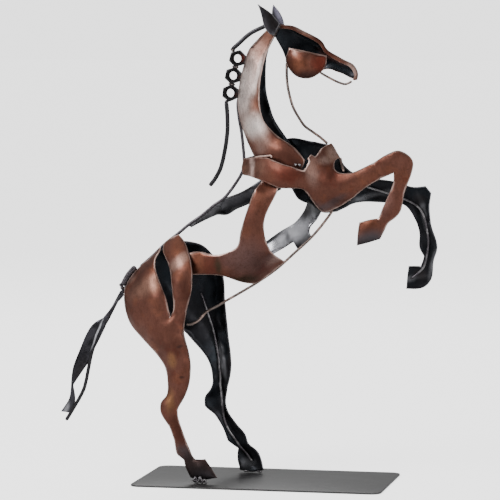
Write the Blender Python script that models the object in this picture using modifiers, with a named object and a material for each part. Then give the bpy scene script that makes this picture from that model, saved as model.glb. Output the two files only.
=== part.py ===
"""Rearing horse statue of cut and hammered steel sheet on a flat steel base plate.

Each side of the animal is a set of open shells that meet at a welded spine of round rod. The near side
faces -Y and the far side +Y. The head looks along +X. The origin is the centre of the base plate's underside.

The figure's own points are in millimetres on a horse HORSE_HEIGHT tall, measured from the top of the base
plate: x along the animal, z up, and depth, how far a sheet stands out from the welded seam at the middle.
"""
import math

import bmesh
import bpy
import numpy as np
from mathutils import Vector
from mathutils.bvhtree import BVHTree
from mathutils.geometry import delaunay_2d_cdt, interpolate_bezier
from mathutils.interpolate import poly_3d_calc

MM = 0.001

# Base plate
PLATE_LENGTH = 220.0
PLATE_WIDTH = 120.0
PLATE_THICKNESS = 1.5
PLATE_CORNER = 9.0
PLATE_CORNER_PARTS = 8

# Horse: its height, the height that its outlines are drawn at, its sheet, and the gap left in a welded joint
HORSE_HEIGHT = 415.0
DRAWN_HEIGHT = 415.0
SHEET = 1.0
WELD_GAP = 0.3

# Round rod and wire
SPINE_ROD = 2.0
BODY_ROD = 1.6
WIRE = 1.3
MANE_ROD = 3.0
TAIL_ROD = 2.4
DOCK_BAR = 4.4

# Mane nuts
NUT_COUNT = 3
NUT_FLATS = 13.0
NUT_BORE = 8.4
NUT_THICKNESS = 6.5
NUT_FIRST = 24.0
NUT_SEARCH = 0.1
BORE_SIDES = 24

# Which way from the centres of the first and last nut the mane's two rods are welded on
UPPER_ROD_WAY = (-0.5, 0.87)
LOWER_ROD_WAY = (-0.42, -0.91)

# Weld beads, length along the horse, width and height
HOOF_BEAD = (12.5, 5.5, 3.4)
TOE_BEAD = (5.0, 3.2, 2.4)
NECK_BEAD = (2.6, 1.6, 2.6)
BEAD_SIDES = 10
BEAD_RINGS = 6

# Fineness of the meshes
EDGE_STEP = 5.5
FIELD_STEP = 9.0
FIELD_CLEAR = 0.55
ROD_STEP = 8.0
WIRE_STEP = 5.0
MERGE = 1e-5

# How round the hammered sheets are, as a share of a half circle, and how soft that starts at the edge
LEG_CROWN = 0.55
BODY_CROWN = 0.32
NECK_CROWN = 0.5
EAR_CROWN = 0.8
CHEEK_CROWN = 0.6
TAIL_CROWN = 0.25
CROWN_EASE = 2.0

NEAR = -1
FAR = 1
SCALE = HORSE_HEIGHT / DRAWN_HEIGHT
SEAM = SPINE_ROD / 2 + WELD_GAP

# Where a lapped sheet is tried against its cover: corners, edge middles and centre of each triangle that
# moves by at least LAP_SHARE of the whole, with LAP_GAP to spare, on slopes up to STEEPEST
LAP_SPOTS = [
    (1, 0, 0), (0, 1, 0), (0, 0, 1), (0.5, 0.5, 0), (0, 0.5, 0.5), (0.5, 0, 0.5), (1 / 3, 1 / 3, 1 / 3),
]
LAP_SHARE = 0.2
LAP_GAP = 0.5
STEEPEST = 2.2

# Marks on a point of an outline: a sharp turn, and an edge that is welded under the first or second cover
CORNER = "corner"
LAP = "lap"
LAP_TWO = "second lap"

# Colour, roughness and metallic value of each finish
PATINA = ((0.19, 0.055, 0.03), 0.4, 0.85)
CHARCOAL = ((0.02, 0.02, 0.022), 0.35, 0.85)
BLACK = ((0.012, 0.012, 0.014), 0.35, 0.8)
NUT_STEEL = ((0.06, 0.058, 0.06), 0.4, 0.95)
WELD_STEEL = ((0.3, 0.28, 0.26), 0.35, 1.0)
PLATE_GREY = ((0.035, 0.035, 0.04), 0.45, 0.6)

NEAR_HIND_LEG = [
    (-78, 213.5, 1, CORNER), (-86, 210, 0), (-101, 195, 0),
    (-114.5, 183.5, 0), (-122, 174.5, 0.5), (-126.5, 164, 2), (-126, 151, 4), (-121, 137, 7),
    (-113, 128, 11), (-93, 109.5, 19), (-84.5, 98.5, 24), (-82, 86, 26), (-82.5, 75, 28),
    (-87.5, 68.5, 29), (-87, 59, 30), (-80.5, 49.5, 31), (-75, 36, 33), (-72.5, 25, 34), (-66, 20, 35),
    (-64.5, 14, 35), (-59.5, 5, 36, CORNER), (-48, 4, 37), (-36, 5.5, 37, CORNER), (-47, 21.5, 36, CORNER),
    (-56, 21, 36), (-60.5, 28.5, 35), (-68, 45.5, 33), (-72.5, 62, 32), (-68.5, 71, 31), (-63.5, 83, 30),
    (-61.5, 100, 29), (-64, 116, 28), (-68, 129, 26), (-67.5, 143, 25), (-63, 160, 26), (-60.5, 176, 27),
    (-61.5, 189, 25), (-66, 199.5, 17), (-71.5, 207.5, 8),
]

# A long leaf-shaped cut in the near thigh, open at the rump after the leg's first points, drawn down its
# front side and up its rear side
THIGH_CUT_AT = 2
THIGH_CUT = [
    (-91.5, 205, 0.5, CORNER), (-91.3, 200, 5), (-88, 195, 11), (-83, 188.5, 18), (-80, 181, 23),
    (-78, 170, 27), (-77, 158, 28), (-77.5, 148.5, 28), (-79.8, 143, 27, CORNER), (-81.2, 149, 27),
    (-83, 157, 27), (-87, 166.5, 25), (-92.5, 177, 20), (-96.5, 187, 14), (-97, 192.5, 10), (-94.5, 199, 5),
    (-94.3, 202.3, 0.3, CORNER),
]

FAR_HIND_LEG = [
    (-97.5, 199, 5, CORNER), (-85.5, 206, 0.7), (-75.5, 207, 6), (-62, 203.5, 12), (-55, 197, 16),
    (-49, 188.5, 18), (-44.5, 177, 20), (-43, 153, 21), (-40, 120, 23), (-38, 101, 24), (-39, 87, 25),
    (-43.5, 66, 27), (-42, 54.5, 29), (-32, 40, 31), (-26.5, 34, 31), (-24, 26.5, 31), (-15, 18.5, 31),
    (-12.5, 13, 31), (-9.5, 2.5, 31, CORNER), (-20, 0.9, 31), (-31, 2, 31, CORNER), (-33, 12.5, 31),
    (-32.5, 21.5, 31, CORNER), (-42, 28, 31, CORNER), (-46, 39.5, 30), (-54, 52.5, 28), (-62, 59, 27),
    (-62, 66.5, 27), (-56, 75.5, 26), (-54.5, 87, 25), (-58.5, 102, 23), (-71, 119, 18), (-90, 142, 10),
    (-101, 156, 7), (-106.5, 170, 4), (-106, 186, 2.5),
]

NEAR_FLANK = [
    (-66, 198.5, 15, CORNER, LAP), (-61, 200, 17), (-54, 200.5, 20), (-43, 198.5, 24), (-32, 200, 27),
    (-20, 206.5, 29), (-17, 218, 30), (-8, 246, 30), (-4, 256, 29), (3, 266.5, 27, CORNER, LAP_TWO),
    (15, 266.5, 27, CORNER, LAP_TWO), (16, 257, 28), (9, 242, 30), (4.5, 231.5, 30), (3.5, 219, 29),
    (8, 203, 23), (15.5, 192, 0.5, CORNER), (7, 184.5, 0), (-1, 178.5, 0), (-9, 173, 0),
    (-15, 173, 6), (-23, 175.5, 13), (-35, 180, 18), (-48, 181, 19), (-61, 180.5, 18),
    (-66, 180, 16, CORNER, LAP),
]

NEAR_SHOULDER = [
    (-19.5, 281, 0, CORNER), (-8, 282.5, 12), (6, 282.5, 22), (17, 278.5, 27), (38.5, 272.5, 31, CORNER),
    (40.5, 275.5, 30), (42.3, 280.5, 28), (41.3, 282.8, 27, CORNER), (43.5, 285.8, 25), (47, 284, 24),
    (50.5, 290.5, 15), (56.5, 294.5, 0.5, CORNER), (59, 291.5, 0.5, CORNER),
    (64.5, 282, 1.5, CORNER), (61.5, 280, 8, CORNER), (62, 274.5, 14), (66, 270.5, 17), (79, 270.5, 21),
    (98.5, 279.5, 25), (112, 287.5, 27), (121, 290, 27), (131.5, 283, 27), (132, 273.5, 27),
    (125, 253, 27), (122, 238.5, 27), (116, 231.5, 27), (111.5, 228, 27, CORNER),
    (104.5, 214.5, 27, CORNER),
    (84.5, 208.5, 27, CORNER), (86.5, 228.5, 27, CORNER), (103, 232, 27, CORNER), (109, 245.5, 27),
    (116, 263, 27), (116.5, 271.5, 27, CORNER), (99.5, 263.5, 24), (88, 256, 21), (76, 247, 15),
    (60.5, 239, 4), (51.5, 236.5, 10), (43, 247.5, 19), (36.5, 256.5, 26), (17, 257.5, 29),
    (5.5, 261.5, 25), (-9, 265.5, 14), (-20, 267, 0.5, CORNER), (-21.5, 273, 0.5),
]

# The welded crest that both neck shells share, from the withers up to the poll
CREST = [
    (-8, 282, 6), (-13, 290, 3), (-18, 300.5, 1), (-22.5, 313.5, 0), (-25, 329, 0), (-23.5, 345.5, 0),
    (-20, 360.5, 0), (-15, 375.5, 0), (-6, 386, 0),
]

NEAR_NECK_FRONT = [
    (1, 393, 2, CORNER), (8, 387.5, 4, CORNER), (3.5, 376.5, 8), (0, 365, 11), (-2.5, 350, 14),
    (-3.5, 334, 14), (-2, 322, 15), (2, 312.5, 16), (15.5, 300, 19), (30, 290.5, 22),
    (38.5, 281, 24, CORNER), (35, 269, 25, CORNER, LAP), (17, 272.5, 21, LAP), (3, 276, 16, LAP),
]

FAR_NECK_FRONT = [
    (1.5, 391, 2, CORNER), (6, 387, 4, CORNER), (-1.5, 373.5, 9), (-4, 357.5, 13), (-4, 341, 14),
    (-1, 326.5, 15), (3.5, 314, 16), (14, 297.5, 20), (20, 290, 21, CORNER), (16, 281, 20, CORNER, LAP),
    (3, 279, 16, LAP),
]

FAR_SHOULDER = [
    (-19.5, 281, 0, CORNER), (-4, 286, 14), (13.5, 297.5, 21), (33.5, 296, 15), (50, 293.5, 4),
    (57, 292.5, 0.5, CORNER), (63.5, 282, 1.5), (66, 275, 9), (72, 269, 15), (83, 264.5, 20),
    (108, 260.5, 26), (124, 256, 27), (135, 257, 27, CORNER), (140, 251, 27, CORNER), (138.5, 241, 27),
    (140, 224.5, 27), (145.5, 204.5, 27), (142.5, 191, 27), (140.5, 176, 27), (132, 168, 27),
    (118.5, 167, 27, CORNER), (120.5, 187, 27, CORNER), (131, 187, 27, CORNER), (134, 196, 27),
    (130.5, 202.5, 27), (129.5, 218.5, 27), (122.5, 235, 27), (114.5, 241.5, 27), (99.5, 242.5, 26),
    (77, 242.5, 21), (61, 236, 3, CORNER), (47.5, 234.5, 9), (33, 240.5, 22), (22.5, 244.5, 26),
    (16.5, 253.5, 27, CORNER), (3, 256.5, 26, CORNER), (-6, 262, 22), (-20, 267, 0.5, CORNER),
    (-21.5, 273, 0.5),
]

# An opening through the far shoulder plate, between its upper arm and its band
FAR_OPENING = [(20, 275), (27, 280), (38, 279), (43, 274), (39, 267), (28, 264), (21, 268)]

FAR_BACK_BAND = [
    (-70.5, 221.5, 0, CORNER), (-60.5, 229.5, 0), (-48.5, 238.5, 0), (-39, 245, 1.5), (-28, 249.5, 10),
    (-18, 255.5, 18), (-3, 266, 22, CORNER, LAP), (8, 253, 26, CORNER, LAP), (-1, 248.5, 25),
    (-10, 245, 24),
    (-20.5, 240, 22), (-32.5, 234.5, 16), (-38.5, 230.5, 12), (-45, 231, 9), (-57, 226, 4),
    (-68, 220, 0.5, CORNER),
]

FAR_FLANK = [
    (-50, 193, 15, CORNER, LAP_TWO), (-30, 196, 22), (-14, 202, 26), (5.5, 215.5, 28), (20, 224.5, 27),
    (28, 235, 26), (33, 244, 25, CORNER, LAP), (48, 236, 7, CORNER, LAP), (41.5, 228, 11),
    (35.5, 221.5, 12),
    (35, 217.5, 9, CORNER), (38.5, 213.5, 0.5, CORNER), (27, 202, 0.5, CORNER), (21, 208.5, 9, CORNER),
    (1, 196.5, 21), (-14, 189, 22), (-32, 183.5, 20), (-50, 182, 15, CORNER, LAP_TWO),
]

NEAR_EAR = [
    (-6.5, 415, 6, CORNER), (-4, 408, 6.5), (-0.5, 395, 7, CORNER), (4.5, 389, 7.5, CORNER),
    (8.5, 388.5, 8, CORNER),
    (13, 398, 7, CORNER), (6, 406.5, 7),
]

FAR_EAR = [
    (4, 415, 6, CORNER), (3, 409.5, 5.5), (4, 402.5, 4.5), (9, 397.5, 4, CORNER), (14, 397.5, 5, CORNER),
    (12.5, 402.5, 6.5), (9.5, 408, 7),
]

CHEEK = [
    (19, 370, 6, CORNER), (21.5, 377.5, 8, CORNER), (39, 373.5, 9), (53.5, 370.5, 4, CORNER),
    (53, 362.5, 5),
    (47.5, 356, 6), (38, 351.5, 6.5), (27.5, 353.5, 6.5), (20.5, 361, 5.5), (18.5, 366, 5),
]

# The head as pairs: a place on the ridge of the face, the lower edge of the far wall, and that wall's depth
HEAD = [
    ((10.5, 396.5), (6.5, 387), 4), ((18, 396), (10, 380), 7), ((24, 395), (13, 373.5), 9),
    ((30, 392), (15.5, 366), 10), ((36.5, 389), (19, 359), 11), ((42.5, 386), (26.5, 353), 11),
    ((47, 383), (34.5, 351.5), 11), ((49.5, 379.5), (42, 354), 10), ((52.5, 375), (48, 358.5), 9.5),
    ((59, 371), (54, 359), 8.5), ((68, 366), (60, 357), 7.5), ((74.5, 363), (66, 355), 6.5),
    ((78, 358.5), (72, 352), 5), ((79.2, 354), (75.3, 351.3), 3.2), ((78.3, 350), (76.3, 349.8), 1.6),
]

# The head's lip as shares of its width down from the ridge, with the y of each
HEAD_LIP = 2.6
LIP_PROFILE = [(1.0, -2.6), (0.35, -2.1), (0.0, -0.6)]

# The far wall turns down in a quarter circle of a few steps, then falls as shares of what is left, with the
# share of its full depth at each
BROW_STEPS = 4
WALL_PROFILE = [(0.5, 0.98), (1.0, 0.86)]

SPINE = [
    (-1, 387.5), (-8, 382), (-13.5, 374), (-18.6, 360), (-22.2, 345), (-24.5, 335), (-26, 328.5),
    (-25, 317),
    (-23, 306), (-21.5, 294), (-20.5, 283), (-20.5, 274.5), (-23, 267), (-28, 259), (-33.5, 251.5),
    (-39, 245.5),
    (-47, 240), (-58, 231), (-70, 222.5), (-79, 215), (-90.5, 206), (-101.5, 195.5), (-113.5, 185),
]
THROAT = [
    (16, 364, 7.4), (16.5, 353, 5), (18, 343.5, 2), (20.5, 334, 0), (23.5, 325, 0), (29, 315.5, 0),
    (33.5, 309.5, 0), (40.5, 304.5, 0), (47, 300, 0), (53.5, 294.5, 0),
]
BELLY = [
    (-67, 136.5, -21), (-63, 137, -17), (-58, 140, -13), (-52, 147, -9), (-44, 151.5, -5),
    (-37.5, 155.5, -2),
    (-25.5, 162.5, 0), (-10.5, 171.5, 0), (-1.5, 177.5, 0), (10, 186, 0), (25.5, 200, 0), (39, 212.5, 0),
    (49, 224, 0), (55, 232, 0), (58, 236.5, 0),
]
JAW = [
    (48, 356, -5.5), (54, 352.5, -5), (60.5, 349, -3.5), (65.5, 346.8, -1.5), (69, 346, 0),
    (72.7, 347.3, 0),
    (74.6, 348.6, 0),
]
CHEST_BRACE = [(65, 282, -1), (67.3, 276.5, -7), (70, 271.5, -13)]
MANE_TOP = [(-0.5, 396.5), (-7.5, 393.5), (-13.5, 390.5), (-19, 386.5), (-25, 381)]
MANE_TAIL = [
    (-35.7, 324.5), (-35.2, 315), (-35.2, 305.5), (-36.5, 294), (-38.5, 283), (-41.8, 271.2),
    (-46.1, 263.3),
    (-50.9, 257),
]
DOCK = [(-118.3, 184.5), (-124.6, 177.3), (-129.6, 168.3)]
TAIL_LINE = [
    (-130.5, 163, 0), (-137, 151, 0), (-144, 137.5, 0), (-152.5, 123, 0), (-158.5, 107, 0), (-162.5, 88, 0),
    (-166, 74.5, 0), (-174, 60, 0), (-182, 47, 0),
]
TAIL_NEAR_LEAF = [
    (-129, 165.5, 0.7, CORNER), (-134, 156.5, 0.7), (-141, 146, 0.7), (-147.5, 138, 0.7), (-153, 128, 0.7),
    (-157, 118.5, 0.7), (-159.5, 107.5, 0.7, CORNER), (-155, 112, 1.5), (-150, 120.5, 3), (-144, 133, 3),
    (-142, 140.5, 2), (-135, 152, 1.5), (-128, 159.5, 1.5),
]
TAIL_FAR_LEAF = [
    (-144, 141, 0.7, CORNER), (-156.5, 134, 1), (-163, 126, 2), (-170, 111, 3), (-177, 93, 3),
    (-178.5, 80, 2.5),
    (-180.5, 66.5, 4), (-189.5, 53.3, 8, CORNER), (-180, 52.6, 5, CORNER), (-175.5, 62, 2),
    (-175.5, 71, 1.5),
    (-177, 78, 1.5, CORNER), (-168.5, 90, 1), (-160, 102.5, 0.7), (-158.5, 108, 0.7), (-150, 124, 0.7),
]
FAR_HIND_WIRE = [
    (-65, 160), (-59, 141.5), (-54, 126), (-49, 99.5), (-46.5, 66), (-45, 48.5), (-40.5, 37), (-33, 26.5),
    (-25, 16.5), (-20.5, 10.5),
]
FAR_FORE_WIRE = [
    (84.5, 256), (92, 253.5), (102, 250.5), (116.5, 245.5), (124, 242), (130, 237.5), (134, 230.5),
    (136.5, 220.5), (138, 209.5), (136.5, 195), (133.5, 185.5), (128.5, 180.5), (123, 176),
]

# The sheets that show their blackened side to the front
DARK_SHEETS = {
    "far_hind_leg", "far_shoulder_and_foreleg", "far_flank_strap", "far_back_band", "far_neck", "near_ear",
    "far_ear", "tail_near_leaf", "tail_far_leaf",
}

# Where the weld beads sit, x and z on the figure
HOOF_SPOT = (-51.5, 4.5)
TOE_SPOTS = [(-13, 2), (-25, 1.5)]
NECK_SPOTS = [(30.8, 277.2), (34.2, 277)]


def clear_scene():
    for item in list(bpy.data.objects):
        bpy.data.objects.remove(item, do_unlink=True)


def collection_named(name):
    collection = bpy.data.collections.new(name)
    bpy.context.scene.collection.children.link(collection)
    return collection


def finish(name, look):
    """One Principled material for one piece."""
    color, roughness, metallic = look
    material = bpy.data.materials.new(name)
    material.use_nodes = True
    shader = material.node_tree.nodes["Principled BSDF"]
    shader.inputs["Base Color"].default_value = (*color, 1.0)
    shader.inputs["Roughness"].default_value = roughness
    shader.inputs["Metallic"].default_value = metallic
    material.diffuse_color = (*color, 1.0)
    return material


def settle(item, collection, parent):
    """Put an object in its collection and on its parent."""
    for holder in list(item.users_collection):
        holder.objects.unlink(item)
    collection.objects.link(item)
    item.parent = parent


def place(x, y, z):
    """Place on the figure in metres of a drawn x and z, y millimetres from its middle plane."""
    return Vector((x * SCALE, y, z * SCALE)) * MM


def span_parts(places, step, closed):
    """How many parts, each about a step long, every span between two places is split into."""
    ends = places[1:] + places[:1] if closed else places[1:]
    return [max(1, round((end - start).length / step)) for start, end in zip(places, ends)]


def smooth_line(points, step, marks=None, closed=False, parts=None):
    """Points about a step apart on a smooth line through the given ones, with sharp turns at the marks."""
    places = [Vector(point) for point in points]
    parts = parts or span_parts(places, step, closed)
    marks = marks or [False] * len(places)
    count = len(places)
    line = []
    for index, steps in enumerate(parts):
        start, end = places[index], places[(index + 1) % count]
        reach = (end - start) / 3
        leave, arrive = start + reach, end - reach
        if not marks[index] and (closed or index > 0):
            leave = start + (end - places[index - 1]).normalized() * reach.length
        if not marks[(index + 1) % count] and (closed or index + 2 < count):
            arrive = end - (places[(index + 2) % count] - start).normalized() * reach.length
        line += interpolate_bezier(start, leave, arrive, end, steps + 1)[:-1]
    if not closed:
        line.append(places[-1])
    return line


def field_inside(loops, step):
    """A triangular field of points over an outline's box, none of them near an edge."""
    low, high = loops[0].min(axis=0), loops[0].max(axis=0)
    row_step = step * math.sqrt(0.75)
    points = []
    for row in range(int((high[1] - low[1]) / row_step) + 1):
        shift = step / 2 if row % 2 else 0.0
        for column in range(int((high[0] - low[0]) / step) + 1):
            points.append((low[0] + shift + column * step, low[1] + row * row_step))
    points = np.array(points)
    edge = np.vstack(loops)
    along = np.vstack([np.roll(loop, -1, axis=0) for loop in loops]) - edge
    away = points[:, None, :] - edge[None, :, :]
    share = np.clip((away * along).sum(axis=2) / (along * along).sum(axis=1), 0.0, 1.0)
    nearest = np.linalg.norm(away - share[:, :, None] * along, axis=2).min(axis=1)
    return points[nearest > step * FIELD_CLEAR]


def stiffness(flat, triangles):
    """The stretched membrane's matrix and the area that each of its points carries."""
    count = len(flat)
    matrix = np.zeros((count, count))
    carried = np.zeros(count)
    for turn in range(3):
        i, j, k = (triangles[:, (turn + offset) % 3] for offset in range(3))
        one, two = flat[j] - flat[i], flat[k] - flat[i]
        twice_area = np.abs(one[:, 0] * two[:, 1] - one[:, 1] * two[:, 0])
        pull = (one * two).sum(axis=1) / np.maximum(twice_area, 1e-9) / 2
        np.add.at(matrix, (j, k), -pull)
        np.add.at(matrix, (k, j), -pull)
        np.add.at(matrix, (j, j), pull)
        np.add.at(matrix, (k, k), pull)
        np.add.at(carried, i, twice_area / 6)
    return matrix, carried


class Skin:
    """A hammered sheet as a membrane stretched over its outline, with a crown raised in its middle."""

    def __init__(self, side, outline, crown, opening=None):
        marks = [point[3:] for point in outline]
        drawn = [point[:3] for point in outline]
        edge = np.array(smooth_line(drawn, EDGE_STEP, [CORNER in mark for mark in marks], True))
        laps = [self.lapped(edge, drawn, marks, lap) for lap in (LAP, LAP_TWO)]
        loops = [edge[:, :2]]
        if opening:
            flat = [(x, z, 0) for x, z in opening]
            loops.append(np.array(smooth_line(flat, EDGE_STEP, closed=True))[:, :2])
        places = [Vector(point) for point in np.vstack(loops + [field_inside(loops, FIELD_STEP)])]
        ring = []
        for loop in loops:
            first = len(ring)
            ring += [(first + index, first + (index + 1) % len(loop)) for index in range(len(loop))]
        found, _, triangles, _, _, _ = delaunay_2d_cdt(places, ring, [], 2, MERGE)
        if len(found) != len(places):
            raise ValueError("an outline crosses itself")
        triangles = np.array(triangles)
        used = np.unique(triangles)
        renumber = np.zeros(len(found), int)
        renumber[used] = np.arange(len(used))
        self.side = side
        self.flat = np.array([tuple(point) for point in found])[used]
        self.triangles = renumber[triangles]
        self.rim = len(edge)
        matrix, carried = stiffness(self.flat, self.triangles)
        free = np.arange(self.rim, len(self.flat))
        held = np.arange(self.rim)
        known = np.stack([edge[:, 2], *laps, np.zeros(self.rim)], axis=1)
        load = np.zeros((len(free), 4))
        load[:, 3] = carried[free]
        values = np.zeros((len(self.flat), 4))
        values[held] = known
        values[free] = np.linalg.solve(matrix[np.ix_(free, free)], load - matrix[np.ix_(free, held)] @ known)
        swell = np.sqrt(2 * np.maximum(values[:, 3], 0) + CROWN_EASE ** 2) - CROWN_EASE
        self.depth = values[:, 0] + crown * swell
        self.laps = {LAP: values[:, 1], LAP_TWO: values[:, 2]}

    @staticmethod
    def lapped(edge, drawn, marks, lap):
        """One along the drawn points that carry a lap's mark, falling to nothing at their neighbours."""
        share = np.zeros(len(edge))
        count = len(drawn)
        spots = [int(np.argmin(np.hypot(edge[:, 0] - p[0], edge[:, 1] - p[1]))) for p in drawn]
        for index in range(count):
            start, end = spots[index], spots[(index + 1) % count]
            steps = (end - start) % len(edge)
            one, two = lap in marks[index], lap in marks[(index + 1) % count]
            for step in range(steps + 1):
                part = step / max(steps, 1)
                share[(start + step) % len(edge)] = one * (1 - part) + two * part
        return share

    def tree(self):
        """The outline laid flat, for finding the sheet's depth at any place."""
        return BVHTree.FromPolygons([Vector((x, 0, z)) for x, z in self.flat],
                                    [tuple(int(corner) for corner in face) for face in self.triangles])

    def depth_at(self, tree, x, z, reach):
        """The inner face's depth at a place on the sheet or within reach of its edge, or None."""
        spot, _, face, away = tree.find_nearest(Vector((x, 0, z)))
        if away > reach:
            return None
        corners = self.triangles[face]
        weights = poly_3d_calc([Vector((self.flat[c][0], 0, self.flat[c][1])) for c in corners], spot)
        return sum(weight * self.depth[c] for weight, c in zip(weights, corners))

    def steepness(self):
        """How much deeper than its thickness the sheet is across the horse, at each triangle."""
        corners = np.column_stack([self.flat, self.depth])[self.triangles]
        normal = np.cross(corners[:, 1] - corners[:, 0], corners[:, 2] - corners[:, 0])
        return np.minimum(np.linalg.norm(normal, axis=1) / np.maximum(np.abs(normal[:, 2]), 1e-9), STEEPEST)

    def lay_under(self, cover, lap=LAP):
        """Push the lapped edge in or out until the sheet's outside meets the inside of its cover."""
        tree = cover.tree()
        steep = self.steepness()
        share = self.laps[lap]
        limits = []
        for triangle, slope in zip(self.triangles, steep):
            for weights in LAP_SPOTS:
                weights = np.array(weights)
                x, z = weights @ self.flat[triangle]
                lean = weights @ share[triangle]
                over = cover.depth_at(tree, x, z, SHEET * 2) if lean > LAP_SHARE else None
                if over is not None:
                    room = (SHEET * slope + LAP_GAP) / SCALE
                    limits.append((over - room - weights @ self.depth[triangle]) / lean)
        if limits:
            self.depth = self.depth + share * min(limits)
        return self

    def build(self, name):
        points = [place(x, self.side * (SEAM + depth * SCALE), z)
                  for (x, z), depth in zip(self.flat, self.depth)]
        turned = self.triangles if self.side == NEAR else self.triangles[:, ::-1]
        mesh = bpy.data.meshes.new(name)
        mesh.from_pydata(points, [], [tuple(int(corner) for corner in face) for face in turned])
        return thicken(name, mesh)


def thicken(name, mesh):
    """A sheet whose inner face is the given mesh."""
    mesh.shade_smooth()
    item = bpy.data.objects.new(name, mesh)
    wall = item.modifiers.new("Sheet", "SOLIDIFY")
    wall.thickness = SHEET * MM
    wall.offset = 1.0
    wall.use_even_offset = False
    return item


def rod(name, points, diameter, step=ROD_STEP):
    """A round rod along a smooth line; a point is x, z and, off the middle plane, y."""
    route = [(point[0], point[1], point[2] if len(point) > 2 else 0.0) for point in points]
    line = smooth_line(route, step)
    curve = bpy.data.curves.new(name, "CURVE")
    curve.dimensions = "3D"
    curve.bevel_depth = diameter / 2 * MM
    curve.bevel_resolution = 1
    curve.use_fill_caps = True
    spline = curve.splines.new("POLY")
    spline.points.add(len(line) - 1)
    for point, spot in zip(spline.points, line):
        point.co = (*place(spot[0], spot[2] * SCALE, spot[1]), 1.0)
    return bpy.data.objects.new(name, curve)


def base_plate():
    """A flat plate with round corners, standing on the ground."""
    bpy.ops.mesh.primitive_cube_add(size=1.0)
    item = bpy.context.active_object
    item.name = "base_plate"
    item.data.name = "base_plate"
    size = Vector((PLATE_LENGTH, PLATE_WIDTH, PLATE_THICKNESS)) * MM
    for vertex in item.data.vertices:
        vertex.co = Vector((vertex.co.x * size.x, vertex.co.y * size.y, (vertex.co.z + 0.5) * size.z))
    solid = bmesh.new()
    solid.from_mesh(item.data)
    upright = [edge for edge in solid.edges if abs(edge.verts[0].co.z - edge.verts[1].co.z) > size.z / 2]
    bmesh.ops.bevel(solid, geom=upright, offset=PLATE_CORNER * MM, segments=PLATE_CORNER_PARTS,
                    affect="EDGES", profile=0.5)
    solid.to_mesh(item.data)
    solid.free()
    return item


def head():
    """The head's far wall, bent from the ridge of the face, with a narrow lip turned to the near side."""
    parts = span_parts([Vector((*top, depth)) for top, _, depth in HEAD], EDGE_STEP, False)
    ridge = smooth_line([(*top, depth) for top, _, depth in HEAD], EDGE_STEP, parts=parts)
    low = smooth_line([(*bottom, 0) for _, bottom, _ in HEAD], EDGE_STEP, parts=parts)
    solid = bmesh.new()
    rows = []
    for top, bottom in zip(ridge, low):
        down = Vector((bottom[0] - top[0], bottom[1] - top[1]))
        rows.append([solid.verts.new(place(top[0] + down.x * share, y * SCALE, top[1] + down.y * share))
                     for share, y in head_section(top[2], down.length)])
    for one, two in zip(rows, rows[1:]):
        for index in range(len(one) - 1):
            solid.faces.new((one[index], two[index], two[index + 1], one[index + 1]))
    bmesh.ops.recalc_face_normals(solid, faces=solid.faces)
    farthest = max(solid.faces, key=lambda face: face.calc_center_median().y)
    if farthest.normal.y < 0:
        bmesh.ops.reverse_faces(solid, faces=solid.faces)
    mesh = bpy.data.meshes.new("head")
    solid.to_mesh(mesh)
    solid.free()
    return thicken("head", mesh)


def head_section(depth, width):
    """Shares down from the ridge with the y of each, from the lip's near edge to the lower edge."""
    points = [(share * HEAD_LIP / width, y) for share, y in LIP_PROFILE]
    turn = min(0.5, depth / width)
    for step in range(1, BROW_STEPS + 1):
        angle = step * math.pi / 2 / BROW_STEPS
        points.append((turn * (1 - math.cos(angle)), depth * math.sin(angle)))
    return points + [(turn + (1 - turn) * share, depth * part) for share, part in WALL_PROFILE]


def nut(name, center, turn, cutters, parent):
    """A plain hexagon nut, flat against the crest, with its bore across the horse."""
    spot = place(center[0], 0.0, center[1])
    bpy.ops.mesh.primitive_cylinder_add(vertices=6, radius=NUT_FLATS / math.sqrt(3) * MM,
                                        depth=NUT_THICKNESS * MM, location=spot,
                                        rotation=(math.pi / 2, turn, 0))
    item = bpy.context.active_object
    item.name = name
    item.data.name = name
    bpy.ops.mesh.primitive_cylinder_add(vertices=BORE_SIDES, radius=NUT_BORE / 2 * MM,
                                        depth=NUT_THICKNESS * 2 * MM, location=spot,
                                        rotation=(math.pi / 2, 0, 0))
    drill = bpy.context.active_object
    drill.name = "drill_" + name
    drill.hide_render = True
    drill.display_type = "WIRE"
    settle(drill, cutters, parent)
    bore = item.modifiers.new("Bore", "BOOLEAN")
    bore.operation = "DIFFERENCE"
    bore.object = drill
    return item


def nut_centers():
    """Centres of the nuts, each corner to corner with the next and flat beside the crest of the neck."""
    line = smooth_line([(x, z, 0) for x, z, _ in reversed(CREST)], NUT_SEARCH)
    pitch = (NUT_FLATS * 2 / math.sqrt(3) + WELD_GAP) / SCALE
    off = (NUT_FLATS / 2 + SHEET + WELD_GAP) / SCALE
    centers = []
    run = 0.0
    for start, end in zip(line, line[1:]):
        run += (end - start).length
        way = (end - start).normalized()
        center = Vector((end[0] + way.y * off, end[1] - way.x * off))
        if run >= NUT_FIRST and (not centers or (center - centers[-1][0]).length >= pitch):
            centers.append((center, way))
        if len(centers) == NUT_COUNT:
            break
    return centers


def mane(cutters, parent):
    """Three nuts in a row behind the poll, with a rod above them and a long one hanging below."""
    centers = nut_centers()
    reach = (NUT_FLATS / math.sqrt(3) + MANE_ROD / 2 + WELD_GAP) / SCALE
    items = [nut(f"mane_nut_{index + 1}", center, math.atan2(-way.x, -way.y), cutters, parent)
             for index, (center, way) in enumerate(centers)]
    top = centers[0][0] + Vector(UPPER_ROD_WAY) * reach
    low = centers[-1][0] + Vector(LOWER_ROD_WAY) * reach
    items.append(rod("mane_rod_upper", MANE_TOP + [tuple(top)], MANE_ROD))
    items.append(rod("mane_rod_lower", [tuple(low)] + MANE_TAIL, MANE_ROD))
    return items


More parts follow.
